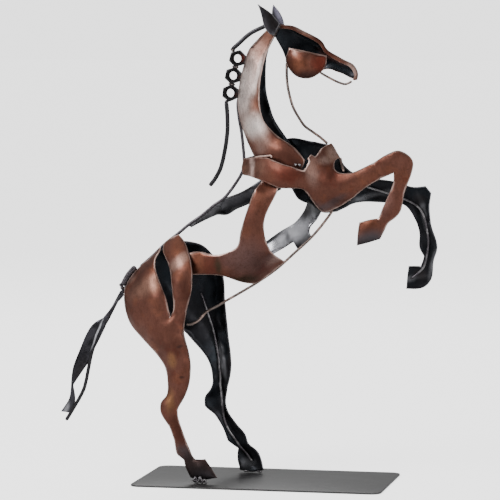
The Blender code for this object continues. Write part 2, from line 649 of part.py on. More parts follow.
def bead(name, spot, size):
    """A round weld bead; its spot is x, y and z on the figure in millimetres."""
    bpy.ops.mesh.primitive_uv_sphere_add(segments=BEAD_SIDES, ring_count=BEAD_RINGS, radius=0.5,
                                         location=Vector(spot) * MM)
    item = bpy.context.active_object
    item.name = name
    item.data.name = name
    for vertex in item.data.vertices:
        vertex.co = Vector([place * side for place, side in zip(vertex.co, size)]) * MM
    item.data.shade_smooth()
    return item


def welds(near_leg, far_leg, near_neck):
    """The fat bead under the near hoof, two beads at the far hoof, and two where the neck meets its band."""
    x, z = HOOF_SPOT
    depth = near_leg.depth_at(near_leg.tree(), x, z, DRAWN_HEIGHT)
    items = [bead("near_hoof_weld", (x * SCALE, NEAR * (SEAM + depth * SCALE), WELD_GAP + HOOF_BEAD[2] / 2),
                  HOOF_BEAD)]
    for index, (x, z) in enumerate(TOE_SPOTS):
        depth = far_leg.depth_at(far_leg.tree(), x, z, DRAWN_HEIGHT)
        y = FAR * (SEAM + depth * SCALE - TOE_BEAD[1] / 2 - WELD_GAP)
        items.append(bead(f"far_hoof_weld_{index + 1}", (x * SCALE, y, WELD_GAP + TOE_BEAD[2] / 2), TOE_BEAD))
    tree = near_neck.tree()
    reach = NECK_BEAD[0] / 2 / SCALE
    for index, (x, z) in enumerate(NECK_SPOTS):
        depth = max(near_neck.depth_at(tree, x + dx, z + dz, DRAWN_HEIGHT)
                    for dx in (-reach, 0, reach) for dz in (-reach, 0, reach))
        y = NEAR * (SEAM + depth * SCALE + SHEET * STEEPEST / 2 + NECK_BEAD[1] / 2 + WELD_GAP)
        items.append(bead(f"neck_weld_{index + 1}", (x * SCALE, y, z * SCALE), NECK_BEAD))
    return items


def inner_wire(name, skin, drawn):
    """A stiffening wire laid along the inner face of a sheet."""
    tree = skin.tree()
    reach = WIRE / SCALE
    around = [(0, 0), (reach, 0), (-reach, 0), (0, reach), (0, -reach)]
    points = []
    for x, z, _ in smooth_line([(x, z, 0) for x, z in drawn], WIRE_STEP):
        depth = min(skin.depth_at(tree, x + dx, z + dz, DRAWN_HEIGHT) for dx, dz in around)
        points.append((x, z, skin.side * (SEAM / SCALE + depth - (WIRE / 2 + WELD_GAP * 2) / SCALE)))
    return rod(name, points, WIRE, WIRE_STEP * 2)


def sheets():
    """Every sheet of the two sides by name, each lapped edge laid under the sheet that covers it."""
    near_outline = NEAR_HIND_LEG[:THIGH_CUT_AT] + THIGH_CUT + NEAR_HIND_LEG[THIGH_CUT_AT:]
    near_leg = Skin(NEAR, near_outline, LEG_CROWN)
    far_leg = Skin(FAR, FAR_HIND_LEG, LEG_CROWN)
    near_shoulder = Skin(NEAR, NEAR_SHOULDER, BODY_CROWN)
    far_shoulder = Skin(FAR, FAR_SHOULDER, BODY_CROWN, FAR_OPENING)
    near_flank = Skin(NEAR, NEAR_FLANK, BODY_CROWN).lay_under(near_leg).lay_under(near_shoulder, LAP_TWO)
    far_flank = Skin(FAR, FAR_FLANK, BODY_CROWN).lay_under(far_shoulder).lay_under(far_leg, LAP_TWO)
    return {
        "near_hind_leg": near_leg,
        "far_hind_leg": far_leg,
        "near_shoulder_and_foreleg": near_shoulder,
        "far_shoulder_and_foreleg": far_shoulder,
        "near_flank_strap": near_flank,
        "far_flank_strap": far_flank,
        "near_neck": Skin(NEAR, NEAR_NECK_FRONT + CREST, NECK_CROWN).lay_under(near_shoulder),
        "far_neck": Skin(FAR, FAR_NECK_FRONT + CREST, NECK_CROWN).lay_under(far_shoulder),
        "far_back_band": Skin(FAR, FAR_BACK_BAND, BODY_CROWN).lay_under(far_shoulder),
        "near_ear": Skin(NEAR, NEAR_EAR, EAR_CROWN),
        "far_ear": Skin(FAR, FAR_EAR, EAR_CROWN),
        "cheek": Skin(NEAR, CHEEK, CHEEK_CROWN),
        "tail_near_leaf": Skin(NEAR, TAIL_NEAR_LEAF, TAIL_CROWN),
        "tail_far_leaf": Skin(FAR, TAIL_FAR_LEAF, TAIL_CROWN),
    }


def main():
    clear_scene()
    parts = collection_named("Rearing horse")
    cutters = collection_named("Cutters")
    figure = bpy.data.objects.new("figure", None)
    figure.location.z = PLATE_THICKNESS * MM
    settle(figure, parts, None)

    plate = base_plate()
    plate.data.materials.append(finish(plate.name, PLATE_GREY))
    settle(plate, parts, None)

    skins = sheets()
    pieces = [(skin.build(name), CHARCOAL if name in DARK_SHEETS else PATINA) for name, skin in skins.items()]
    pieces += [(head(), PATINA), (rod("throat_rod", THROAT, BODY_ROD), PATINA)]
    pieces += [(rod("belly_rod", BELLY, BODY_ROD), PATINA), (rod("jaw_wire", JAW, WIRE), PATINA)]
    pieces += [(rod("chest_brace", CHEST_BRACE, BODY_ROD), PATINA)]
    pieces += [(rod("spine_rod", SPINE, SPINE_ROD), BLACK), (rod("tail_dock", DOCK, DOCK_BAR), BLACK)]
    pieces += [(rod("tail_rod", TAIL_LINE, TAIL_ROD), BLACK)]
    pieces += [(inner_wire("far_hind_leg_wire", skins["far_hind_leg"], FAR_HIND_WIRE), BLACK)]
    pieces += [(inner_wire("far_foreleg_wire", skins["far_shoulder_and_foreleg"], FAR_FORE_WIRE), BLACK)]
    pieces += [(item, NUT_STEEL) for item in mane(cutters, figure)]
    beads = welds(skins["near_hind_leg"], skins["far_hind_leg"], skins["near_neck"])
    pieces += [(item, WELD_STEEL) for item in beads]
    for item, look in pieces:
        item.data.materials.append(finish(item.name, look))
        settle(item, parts, figure)


main()
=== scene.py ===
"""Looks of the rearing horse statue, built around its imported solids.

Every sheet is made again from the inner face of its solid: split finer, smoothed, dented by the hammer and
given its thickness back, with a heat-coloured outside, a smoke-black inside and a bright cut edge. The rods
follow the middle lines of their solids. The nuts get their chamfers and threads, and the welds their ripples.
"""
import math

import bmesh
import bpy
import numpy as np
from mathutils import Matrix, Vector, kdtree, noise


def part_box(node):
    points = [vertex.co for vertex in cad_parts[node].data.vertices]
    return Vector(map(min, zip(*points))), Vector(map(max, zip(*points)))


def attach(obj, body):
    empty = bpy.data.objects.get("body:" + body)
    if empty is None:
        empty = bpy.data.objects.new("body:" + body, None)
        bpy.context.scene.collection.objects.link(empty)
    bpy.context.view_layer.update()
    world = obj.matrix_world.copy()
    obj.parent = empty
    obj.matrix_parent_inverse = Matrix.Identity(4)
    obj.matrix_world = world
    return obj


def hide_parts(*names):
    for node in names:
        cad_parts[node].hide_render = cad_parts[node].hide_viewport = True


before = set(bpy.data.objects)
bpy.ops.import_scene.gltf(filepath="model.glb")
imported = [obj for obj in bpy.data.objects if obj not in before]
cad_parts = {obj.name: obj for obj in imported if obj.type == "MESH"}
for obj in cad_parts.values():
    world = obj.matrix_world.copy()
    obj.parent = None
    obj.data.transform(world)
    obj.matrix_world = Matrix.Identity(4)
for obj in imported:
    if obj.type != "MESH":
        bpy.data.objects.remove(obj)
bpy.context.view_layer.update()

bl_info = {
    "name": "Rearing horse statue",
    "version": (1, 0, 0),
    "blender": (4, 5, 0),
    "location": "View3D > Sidebar > Horse",
    "description": "Sheets, rods, nuts, welds and base plate of a welded steel horse, with its studio",
    "category": "Object",
}

MM = 0.001
BODY = "root"
MERGE = 0.001 * MM

# The sheets of the near side, which faces -Y, those of the far side, and those that are dark on both faces
NEAR_SHEETS = ["near_hind_leg", "near_flank_strap", "near_shoulder_and_foreleg", "near_neck", "cheek"]
FAR_SHEETS = [
    "head", "far_hind_leg", "far_flank_strap", "far_back_band", "far_shoulder_and_foreleg", "far_neck"]
DARK_SHEETS = ["near_ear", "tail_near_leaf", "far_ear", "tail_far_leaf"]

# The sheets whose outside is turned to the far side
FACE_FAR = FAR_SHEETS + ["tail_far_leaf"]

# Sheets with a duller edge, and how much of the edge's brightness, partly painted highlight, is left there
DULL_RIMS = ["head", "tail_near_leaf", "tail_far_leaf"]
DULL = 0.65

# Plain rods: slot, finish and the seed of the unevenness
RODS = {
    "throat_rod": ("brown_rod", "rod_brown_steel", 0),
    "belly_rod": ("brown_rod", "rod_brown_steel", 1),
    "spine_rod": ("brown_rod", "rod_grey_steel", 2),
    "jaw_wire": ("brown_rod", "rod_brown_steel", 3),
    "chest_brace": ("brown_rod", "rod_brown_steel", 4),
    "tail_rod": ("black_rod", "rod_black_steel", 10),
    "mane_rod_upper": ("black_rod", "rod_black_steel", 11),
    "mane_rod_lower": ("black_rod", "rod_black_steel", 12),
    "far_hind_leg_wire": ("black_rod", "rod_rubbed_steel", 20),
    "far_foreleg_wire": ("black_rod", "rod_rubbed_steel", 21),
}
RIBBED_BAR = "tail_dock"
NUTS = ["mane_nut_1", "mane_nut_2", "mane_nut_3"]
BEADS = ["near_hoof_weld", "far_hoof_weld_1", "far_hoof_weld_2", "neck_weld_1", "neck_weld_2"]
PLATE = "base_plate"

# Seeds: dents of the first dark sheet, unevenness of the band's lip and of the ribbed bar, and small welds
DARK_SEED = 20
CURL_SEED = 40
BAR_SEED = 30
WELD_SEEDS = {"mane_tacks": 11, "rod_tacks": 12, "joint_welds": 13, "hoof_squiggle": 14}

# An edge goes through a sheet if its length is the sheet's thickness, give or take this share of it
THICKNESS_ROOM = 0.002

# A rod's cap is met at more than this angle, its sides at less
CAP_TURN = math.radians(75)

# Weights of a split: the ends of a side and the points across from it, and on the outline a point and the two
# beside it
SIDE_ENDS = 0.375
SIDE_ACROSS = 0.125
RIM_OWN = 0.75
RIM_BESIDE = 0.125

# Rounds in which a split surface is drawn back through the points that it started from
FIT_ROUNDS = 3

# A seed's step through the noise of the dents, and the least length that a normal is divided by
NOISE_STEPS = (3.1, 1.7, 2.3)
NO_LENGTH = 1e-12

# A rod's end is eased over this share of its half width, down to this share of it
END_REACH = 0.6
END_SIZE = 0.7

# Size of the lumps in a bead, and the smallest and largest ripple as a share of the bead's half width
BEAD_LUMPS = 1.4 * MM
RIPPLE_SIZES = (0.8, 1.12)

# Path of a bead as shares of its reach, each with its sway, how far the sway goes to the side and down as
# shares of the half height, and the half width that it is laid with
BEAD_PATH = [(-1, 0), (-0.6, 1), (-0.2, -1), (0.2, 1), (0.6, -1), (1, 0)]
BEAD_SWAY = 0.3
BEAD_DIP = 0.15
BEAD_WIDTH = 0.95

# Tacks of the mane: their distance from the middle plane as a share of half a nut, the width of those between
# two nuts and at the crest as shares of a tack, and the reach and width of those at the ends of the rods
TACK_OFF = 0.25
BETWEEN_TACK = 0.8
CREST_TACK = 0.75
END_TACK_REACH = 0.12
END_TACK = 1.25

# Nut: points around, rings to one thread, rim of the chamfer, countersink and sharpest smooth turn
NUT_PARTS = 72
THREAD_PARTS = 6
CHAMFER_RIM = 0.985
COUNTERSINK = 1.04
NUT_SMOOTH = math.radians(28)

# Base plate: faces flatter than this are joined, edges sharper than this are rounded, and what looks smooth
PLATE_FLAT = math.radians(1)
PLATE_EDGE = math.radians(60)
PLATE_SMOOTH = math.radians(32)
BEVEL_PARTS = 3

# Studio: lamps with their places and widths in metres, the floor in metres, with its glow as a share of the
# backdrop's, and the width of the camera's sensor in millimetres
LAMPS = {"key": ((-1.1, -1.1, 1.35), 0.9), "fill": ((3.0, -3.0, 0.8), 2.4), "rim": ((-0.5, 1.4, 1.5), 1.0)}
SQUARE = ((-1, -1), (1, -1), (1, 1), (-1, 1))
FLOOR_REACH = 40.0
FLOOR_HEIGHT = -0.2 * MM
FLOOR_ROUGH = 0.9
FLOOR_GLOW = 0.9
SENSOR = 36
WHITE = (1, 1, 1, 1)

# A patch reaches through the whole width of the horse
PATCH_DEPTH = 400 * MM

# How fine the wander of the patches' outlines and the breaks in a bright edge are, as noise to a metre
WANDER_SCALE = 90.0
BREAK_SCALE = 160.0

# From where to where noise turns into a streak, a pit, rougher metal, and an unbroken stretch of bright edge
STREAK_ENDS = (0.45, 0.68)
PIT_ENDS = (0.56, 0.7)
ROUGH_ENDS = (0.35, 0.65)
BREAK_ENDS = (0.3, 0.6)

# A bright edge is full from this nearness on, and this share of it is left where it is broken
EDGE_FULL = 0.92
BREAK_LEAST = 0.35

# A patch fades between these shares of its size, and finer hammer marks have this share of a dent's height
PATCH_ENDS = (0.1, 1.4)
FINE_SHARE = 0.35

# Patches on the outside of the sheets, in millimetres: x, z, half length, half width, turn from +X to +Z in
# degrees, colour, strength. Where two overlap, the later one lies over the earlier.
COPPER_SPOTS = [
    # neck: the rose and pale patches are painted highlights, where the neck would mirror the upper left lamp
    (-15, 352, 40, 14, 78, "rose", 0.85), (-16, 340, 38, 9, 84, "pale", 0.75),
    (-22, 344, 28, 6, 82, "pale", 1.0), (-5, 356, 24, 3, 74, "pale", 0.6),
    (-6, 377, 10, 9, 50, "tan", 0.45), (4, 390, 12, 9, 30, "moss", 0.6), (3, 388, 9, 8, 60, "umber", 0.5),
    (-12, 379, 2.2, 1.3, 0, "soot", 0.9), (-8, 328, 13, 6, 96, "rust", 0.6),
    (-9, 312, 15, 16, 90, "rose", 0.95), (-9, 311, 12, 13, 90, "pale", 1.0),
    (-1, 296, 9, 11, 0, "rose", 0.45), (9, 290, 12, 14, -45, "copper", 0.6),
    (24, 284, 16, 8, -35, "umber", 0.8), (35, 276, 10, 6, -35, "soot", 0.4),
    # cheek and head: the rose patches are painted highlights on the cheek's upper left, the lip and the
    # muzzle
    (26, 375, 5, 3, -60, "rose", 0.3), (31, 365, 9, 7, 0, "rust", 0.7), (49, 366, 9, 13, 0, "oxblood", 1.0),
    (38, 355, 16, 5, 0, "soot", 0.6), (33, 377, 12, 2, -8, "rose", 0.5),
    (26, 396, 18, 5, -15, "umber", 0.6), (36, 393, 13, 3, -22, "rose", 0.7),
    (50, 385, 12, 6, -35, "umber", 0.8), (62, 377, 12, 5, -30, "rose", 0.6),
    (77, 364, 7, 14, 0, "rose", 0.8), (70, 372, 9, 5, -30, "rose", 0.6),
    # band, shoulder and foreleg
    # the edge-coloured stripe across the band is a painted highlight
    (-10, 275, 11, 3.4, 94, "edge", 1.0), (-17, 274, 8, 5, 94, "tan", 0.5), (-3, 275, 8, 9, 0, "tan", 0.35),
    (24, 270, 16, 9, 0, "oxblood", 0.7), (18, 260, 18, 4, -8, "umber", 0.5),
    # rose on the shoulder is painted highlight; the patches at x 60, z 288 paint light on a facet away from
    # the key
    (46, 273, 15, 6, 96, "rose", 0.35), (56, 283, 7, 5, 0, "rose", 0.6), (61, 288, 10, 6, -65, "rust", 0.8),
    (60, 288, 9, 6, -65, "tan", 0.9), (60, 288, 8, 5, -65, "rose", 0.6),
    # the slate patches are a painted grey sheen along the shoulder's lower edge
    (60, 245, 20, 4, 32, "slate", 0.55), (46, 242, 11, 6, 0, "slate", 0.5),
    (60, 268, 14, 12, 0, "oxblood", 0.3), (95, 268, 20, 5, 28, "rust", 0.3),
    (108, 247, 16, 9, 70, "plum", 0.5), (112, 262, 16, 8, 60, "umber", 0.4),
    (97, 226, 10, 6, 20, "rust", 0.3), (94, 224, 9, 8, 20, "umber", 0.5),
    # flank
    (2, 253, 20, 8, 78, "rust", 0.3), (-4, 228, 16, 12, 80, "copper", 0.6),
    (-15, 198, 24, 20, 0, "plum", 0.9), (-57, 191, 11, 11, 0, "rust", 0.55),
    (-46, 190, 8, 12, 0, "oxblood", 0.5), (-38, 190, 4, 9, 0, "moss", 0.8),
    (-16, 178, 13, 5, 10, "moss", 0.75), (9, 197, 15, 5, 40, "plum", 0.9),
    (2, 190, 14, 4, 40, "oxblood", 0.5), (11, 197, 12, 4, 40, "rose", 0.45),
    # thigh and hind leg
    # the rose and tan patches at x -71 to -101 are painted highlights on the thigh and its strap
    (-76, 203, 16, 8, -60, "rust", 0.5), (-73, 194, 14, 6, 38, "rose", 0.5),
    (-71, 195, 13, 5, 38, "tan", 0.5), (-101, 172, 24, 9, 28, "tan", 0.6),
    (-123, 176, 7, 5, 30, "rose", 0.4), (-64, 166, 9, 18, 0, "umber", 0.45),
    (-98, 148, 20, 14, 0, "copper", 0.5), (-86, 131, 16, 13, 0, "umber", 0.2),
    (-78, 108, 8, 5, 90, "ochre", 0.6), (-79, 72, 11, 4.5, 90, "ochre", 0.6),
    (-71, 120, 2.4, 1.6, 0, "soot", 0.6), (-68, 94, 3, 1.4, 0, "soot", 0.65),
    (-63, 98, 34, 5, 92, "umber", 0.55), (-69, 46, 20, 10, -60, "umber", 0.85),
    (-66, 28, 11, 8, -60, "slate", 0.7),
]

# The blackened hooves and lower leg, over everything else
HOOF_SPOTS = [
    (-54, 18, 20, 16, -40, "soot", 0.75), (-50, 3, 40, 26, -12, "soot", 1.0),
    (-45, 6, 12, 7, -20, "slate", 0.4), (96, 213, 20, 11, 12, "slate", 0.95),
    (93, 209, 20, 9, 12, "soot", 0.85), (-70, 46, 14, 6, -70, "umber", 0.7),
]

# The worn neck, where fine reddish streaks run down the pale painted highlight
NECK_WEAR = (-14, 355, 42, 14, 78, "oxblood", 0.4)

# Darker places of the cut edges
CUT_SPOTS = [
    (22, 394, 40, 13, -25, "umber", 1.0), (6, 393, 9, 12, 0, "soot", 1.0),
    (-56, 22, 34, 34, 0, "soot", 0.85), (120, 268, 18, 24, 0, "umber", 0.6),
    (94, 214, 22, 14, 0, "soot", 0.8),
]

# Patches on the insides: the sheen ones are painted reflections, the others bluish and sooty tones
SMOKE_SPOTS = [
    (24, 220, 22, 12, 30, "sheen", 1.0), (5, 204, 20, 9, 42, "sheen", 0.8),
    (30, 233, 9, 5, 60, "soot", 0.7), (21, 205, 8, 4, -70, "soot", 0.5),
    (14, 213, 6, 3, -60, "charcoal", 0.6), (-31, 249, 30, 8, 28, "sheen", 0.12),
    (-56, 233, 20, 5, 32, "sheen", 0.4), (66, 236, 16, 5, 20, "sheen", 0.3),
    (82, 248, 14, 3, 15, "sheen", 0.14), (104, 253, 12, 4, 5, "sheen", 0.1),
    (133, 236, 16, 3, -75, "sheen", 0.15), (141, 190, 16, 2.5, 80, "sheen", 0.15),
    (122, 178, 14, 3, 10, "sheen", 0.12), (-46, 102, 18, 3, 100, "sheen", 0.3),
    (-93, 181, 14, 6, -70, "teal", 0.6), (2, 325, 22, 3, -70, "teal", 0.5),
    (54, 371, 15, 3.5, -30, "umber", 0.7), (62, 363, 10, 4, -30, "teal", 0.7),
    (-30, 150, 20, 4, 80, "teal", 0.4), (-24, 10, 8, 5, 0, "sheen", 0.08), (131, 181, 6, 6, 0, "soot", 0.8),
    (130, 246, 7, 7, 0, "soot", 0.7), (-1, 311, 10, 5, -70, "charcoal", 0.6),
    (-35, 110, 22, 6, 85, "soot", 0.8),
]
# On the near ear, soot is painted shade on its upper facet; on the tail, the sheen patches are painted
# highlights
CHARCOAL_SPOTS = [
    (0, 398, 12, 6, -62, "slate", 0.5), (6, 404, 18, 6, -62, "soot", 1.0),
    (-152, 128, 17, 1.0, 68, "sheen", 0.9), (-137, 155, 8, 1.5, 55, "sheen", 0.2),
    (-170, 93, 14, 6, 65, "soot", 0.6), (-184, 58, 7, 3, 60, "sheen", 0.4),
]
# On the far ear, the lavender patch is a painted highlight in its hollow
FAR_EAR_SPOTS = [(9, 407, 12, 3.5, -68, "lavender", 1.0)]
# On the nuts, heat marks by the tacks
NUT_SPOTS = [
    (-21.5, 370, 3, 4, 0, "oxblood", 0.9), (-23, 353, 2.5, 2.5, 0, "umber", 0.5),
    (-26, 338, 2.5, 2.5, 0, "umber", 0.5),
]

# Where rods are tacked: rod, x and z in millimetres
ROD_TACKS = [
    ("belly_rod", -2, 182), ("belly_rod", 13, 190), ("belly_rod", 29, 203), ("belly_rod", 44, 215),
    ("mane_rod_upper", -8, 392),
]

# Dark welds, each with its share of the joint's half width and its line in millimetres: near ear to head,
# ribbed bar to thigh, ribbed bar to tail
JOINT_WELDS = [
    (1.25, [(11, -6, 397.5), (9.2, -5.5, 394), (7.2, -5.5, 390.5)]),
    (0.7, [(-128, -1.5, 165.5), (-127, 0.3, 169.5), (-121.7, 0.3, 177), (-116.7, 0.3, 183.5)]),
    (1.0, [(-131, -0.5, 170), (-130, -0.5, 167), (-129, -0.5, 164)]),
]

# The rolled lip on the upper edge of the band below the neck, in millimetres
BAND_CURL = [(-7, -15.5, 284.6), (-2, -19.5, 285.4), (4, -23.5, 286), (8.5, -26, 286.4), (9.4, -26.5, 284.6)]

# The bright bead that runs up and down the front of the near hind hoof, in millimetres
HOOF_WELD = [(-57, -41.6, 4.5), (-54.5, -41.9, 7.3), (-53, -41.9, 3), (-50.5, -42, 7.8), (-48.5, -42, 3),
             (-46.5, -42, 5.5), (-45, -41.8, 2.7)]


def charcoal_recipe(spots):
    """Dark blued steel of the ears and the tail, with a light edge that is partly a painted highlight."""
    return {
        "base": "charcoal", "layers": [
            ("clouds", "smoke", 9, 0.45, 0.62, 9, 0.7), ("patches", spots, 3), ("grain", 0.7, 0.5),
            ("bright_edge", "sheen", 0.6, 0.3)],
        "rough": (5, 10, 0.26, 0.4), "metallic": 0.85, "dents": (4, 0.9, 0.06), "grain": 0.02}


def cut_recipe(base, second):
    """The cut through a sheet, drawn along by the torch."""
    return {
        "base": base, "layers": [
            ("clouds", second, 4, 0.45, 0.65, 11, 0.6), ("patches", CUT_SPOTS, 3),
            ("clouds", "soot", 1.5, 0.55, 0.7, 12, 0.4)],
        "rough": (2, 13, 0.3, 0.5), "metallic": 0.9, "dents": (1.2, 0.4, 0.05)}


def rod_recipe(base, second, metallic):
    """Bent rod: drawn steel with heat clouds and specks of scale."""
    return {
        "base": base, "layers": [
            ("clouds", second, 11, 0.45, 0.62, 14, 0.6), ("clouds", "soot", 7, 0.52, 0.7, 15, 0.5),
            ("grain", 0.4, 0.25)],
        "rough": (6, 16, 0.24, 0.42), "metallic": metallic, "grain": 0.03}


def weld_recipe(base, second):
    """Weld metal with its straw and blue tints and dark slag between the ripples."""
    return {
        "base": base, "layers": [
            ("clouds", second, 2, 0.45, 0.6, 19, 0.8), ("clouds", "soot", 1.0, 0.52, 0.68, 20, 0.7),
            ("grain", 0.35, 0.4)],
        "rough": (1.5, 21, 0.2, 0.42), "metallic": 0.92, "grain": 0.05}


# Finishes, with sizes in millimetres. Layers lie one over the other. Clouds have a colour, size, start, end,
# seed and strength, streaks a colour, size, turn and strength, patches their list and wander, worn a patch
# with the size and turn of its streaks, grain a size and amount, a bright edge a colour, start and amount.
# Roughness is the size and seed of its clouds, its least and its most. Dents are a size, the size of the
# finer marks and a depth. The grain beside them is its depth.
FINISHES = {
    # heat-coloured outside: clouds, placed patches (some are painted highlights), pits, a partly painted
    # bright edge
    "copper_patina": {
        "base": "copper", "layers": [
            ("clouds", "umber", 26, 0.45, 0.64, 1, 0.6), ("clouds", "rust", 13, 0.5, 0.68, 2, 0.45),
            ("clouds", "oxblood", 7, 0.52, 0.7, 3, 0.35), ("patches", COPPER_SPOTS, 5),
            ("clouds", "umber", 2.6, 0.5, 0.72, 4, 0.35), ("streaks", "umber", 0.9, 10, 0.22),
            ("worn", NECK_WEAR, 0.8, 12), ("grain", 0.7, 0.4), ("bright_edge", "edge", 0.45, 0.75),
            ("patches", HOOF_SPOTS, 4)],
        "rough": (9, 5, 0.42, 0.56), "metallic": 0.96, "dents": (6.5, 1.1, 0.08), "grain": 0.025},
    # smoke-black inside of the sheets, glossy, bluish in places, with grey painted reflections and edges
    "smoke_black": {
        "base": "smoke", "layers": [
            ("clouds", "teal", 30, 0.45, 0.6, 6, 0.5), ("clouds", "charcoal", 12, 0.62, 0.76, 7, 0.4),
            ("grain", 0.9, 0.5), ("patches", SMOKE_SPOTS, 5), ("bright_edge", "sheen", 0.72, 0.2)],
        "rough": (10, 8, 0.26, 0.42), "metallic": 0.86, "dents": (8, 1.4, 0.1), "grain": 0.02},
    "charcoal_steel": charcoal_recipe(CHARCOAL_SPOTS),
    "far_ear_steel": charcoal_recipe(FAR_EAR_SPOTS),
    "cut_edge": cut_recipe("edge", "rose"),
    "cut_edge_dark": cut_recipe("charcoal", "rod_brown"),
    "rod_brown_steel": rod_recipe("rod_brown", "rose", 0.92),
    "rod_black_steel": rod_recipe("rod_black", "charcoal", 0.8),
    "rod_grey_steel": rod_recipe("slate", "charcoal", 0.9),
    "rod_rubbed_steel": rod_recipe("slate", "weld", 0.9),
    # oiled black steel of the nuts, with brown heat marks by the tacks
    "nut_black": {
        "base": "nut", "layers": [
            ("clouds", "charcoal", 5, 0.5, 0.65, 17, 0.4), ("patches", NUT_SPOTS, 2), ("grain", 0.5, 0.5)],
        "rough": (3, 18, 0.22, 0.36), "metallic": 0.9, "dents": (2.5, 0.6, 0.05), "grain": 0.02},
    "weld_metal": weld_recipe("weld", "sheen"),
    "weld_slag": weld_recipe("slate", "weld"),
    "weld_dark": weld_recipe("charcoal", "rod_brown"),
    # black satin coat with a fine orange-peel texture and faint rubbed marks
    "plate_coat": {
        "base": "plate", "layers": [
            ("clouds", "charcoal", 40, 0.5, 0.75, 22, 0.35), ("clouds", "soot", 1.2, 0.5, 0.7, 23, 0.25),
            ("grain", 0.4, 0.3)],
        "rough": (18, 24, 0.36, 0.4), "metallic": 0.0, "grain": 0.008, "specular": 0.9},
}


def length(name, description, value):
    """A length in millimetres that can be set in the sidebar."""
    return bpy.props.FloatProperty(name=name, description=description, default=value * MM, unit="LENGTH")


def angle(name, description, value):
    """An angle in degrees that can be set in the sidebar."""
    return bpy.props.FloatProperty(
        name=name, description=description, default=math.radians(value), subtype="ANGLE")


def number(name, description, value, **more):
    """A plain number that can be set in the sidebar."""
    return bpy.props.FloatProperty(name=name, description=description, default=value, **more)


def color(name, description, value):
    """A colour that can be set in the sidebar."""
    return bpy.props.FloatVectorProperty(
        name=name, description=description, subtype="COLOR", size=3, min=0, max=1, default=value)


class SheetSettings(bpy.types.PropertyGroup):
    """Sizes of the hammered sheets."""
    thickness: length("Thickness", "Thickness of the steel sheet", 1.0)
    levels: bpy.props.IntProperty(
        name="Levels", description="How many times each face of a sheet is split in four", default=2)
    corner: angle("Corner", "Turn of the outline past which it stays sharp", 38)
    dent_depth: length("Dent depth", "Depth of the hammer's dents", 0.16)
    dent_size: length("Dent size", "Width of one of the hammer's dents", 7.0)
    curl: length("Curl", "Half width of the rolled lip of the band", 0.75)
    # The band that this reach sets along the cut edges is partly a painted highlight
    edge_reach: length("Edge reach", "How far from a cut edge the torch has coloured the sheet", 1.15)


class RodSettings(bpy.types.PropertyGroup):
    """Sizes of the rods."""
    spacing: length("Spacing", "Length of one ring of a rod", 0.8)
    fine_spacing: length("Fine spacing", "Length of one ring of the ribbed bar", 0.2)
    sides: bpy.props.IntProperty(name="Sides", description="Faces around a rod", default=14)
    lump: length("Lump", "How uneven a rod is", 0.05)
    lump_size: length("Lump size", "Length of one uneven stretch", 5.0)
    scale_coat: length("Scale coat", "Thickness of the scale and varnish on a rod", 0.36)
    rib_depth: length("Rib depth", "Height of the ribs on the bar at the tail", 0.22)
    rib_pitch: length("Rib pitch", "From one rib of the bar to the next", 1.5)


class NutSettings(bpy.types.PropertyGroup):
    """Sizes of the hexagon nuts."""
    flats: length("Flats", "Width across flats", 13.0)
    thickness: length("Thickness", "Height of a nut", 6.5)
    bore: length("Bore", "Diameter at the bottom of the thread", 8.4)
    chamfer: length("Chamfer", "Diameter at which the corners start to fall away", 12.3)
    chamfer_angle: angle("Chamfer angle", "Fall of the corners", 30)
    thread_pitch: length("Thread pitch", "From one thread to the next", 1.25)
    thread_depth: length("Thread depth", "Depth of the thread", 0.62)


class WeldSettings(bpy.types.PropertyGroup):
    """Sizes of the weld beads and tacks."""
    ripple: length("Ripple", "From one ripple of a bead to the next", 0.8)
    flat: number("Flatness", "Height of a ripple as a share of its width", 0.85, subtype="FACTOR")
    lump: length("Lump", "How uneven the metal froze", 0.3)
    tack: length("Tack", "Half width of a tack between two nuts", 1.5)
    rod_tack: length("Rod tack", "Half width of a tack on a thin rod", 1.0)
    joint: length("Joint", "Half width of the welds of ear and tail", 1.8)
    squiggle: length("Squiggle", "Half width of the bead on the front of the near hoof", 1.0)


class PlateSettings(bpy.types.PropertyGroup):
    """Edges of the base plate."""
    bevel: length("Bevel", "Width of the rounded edge", 0.25)


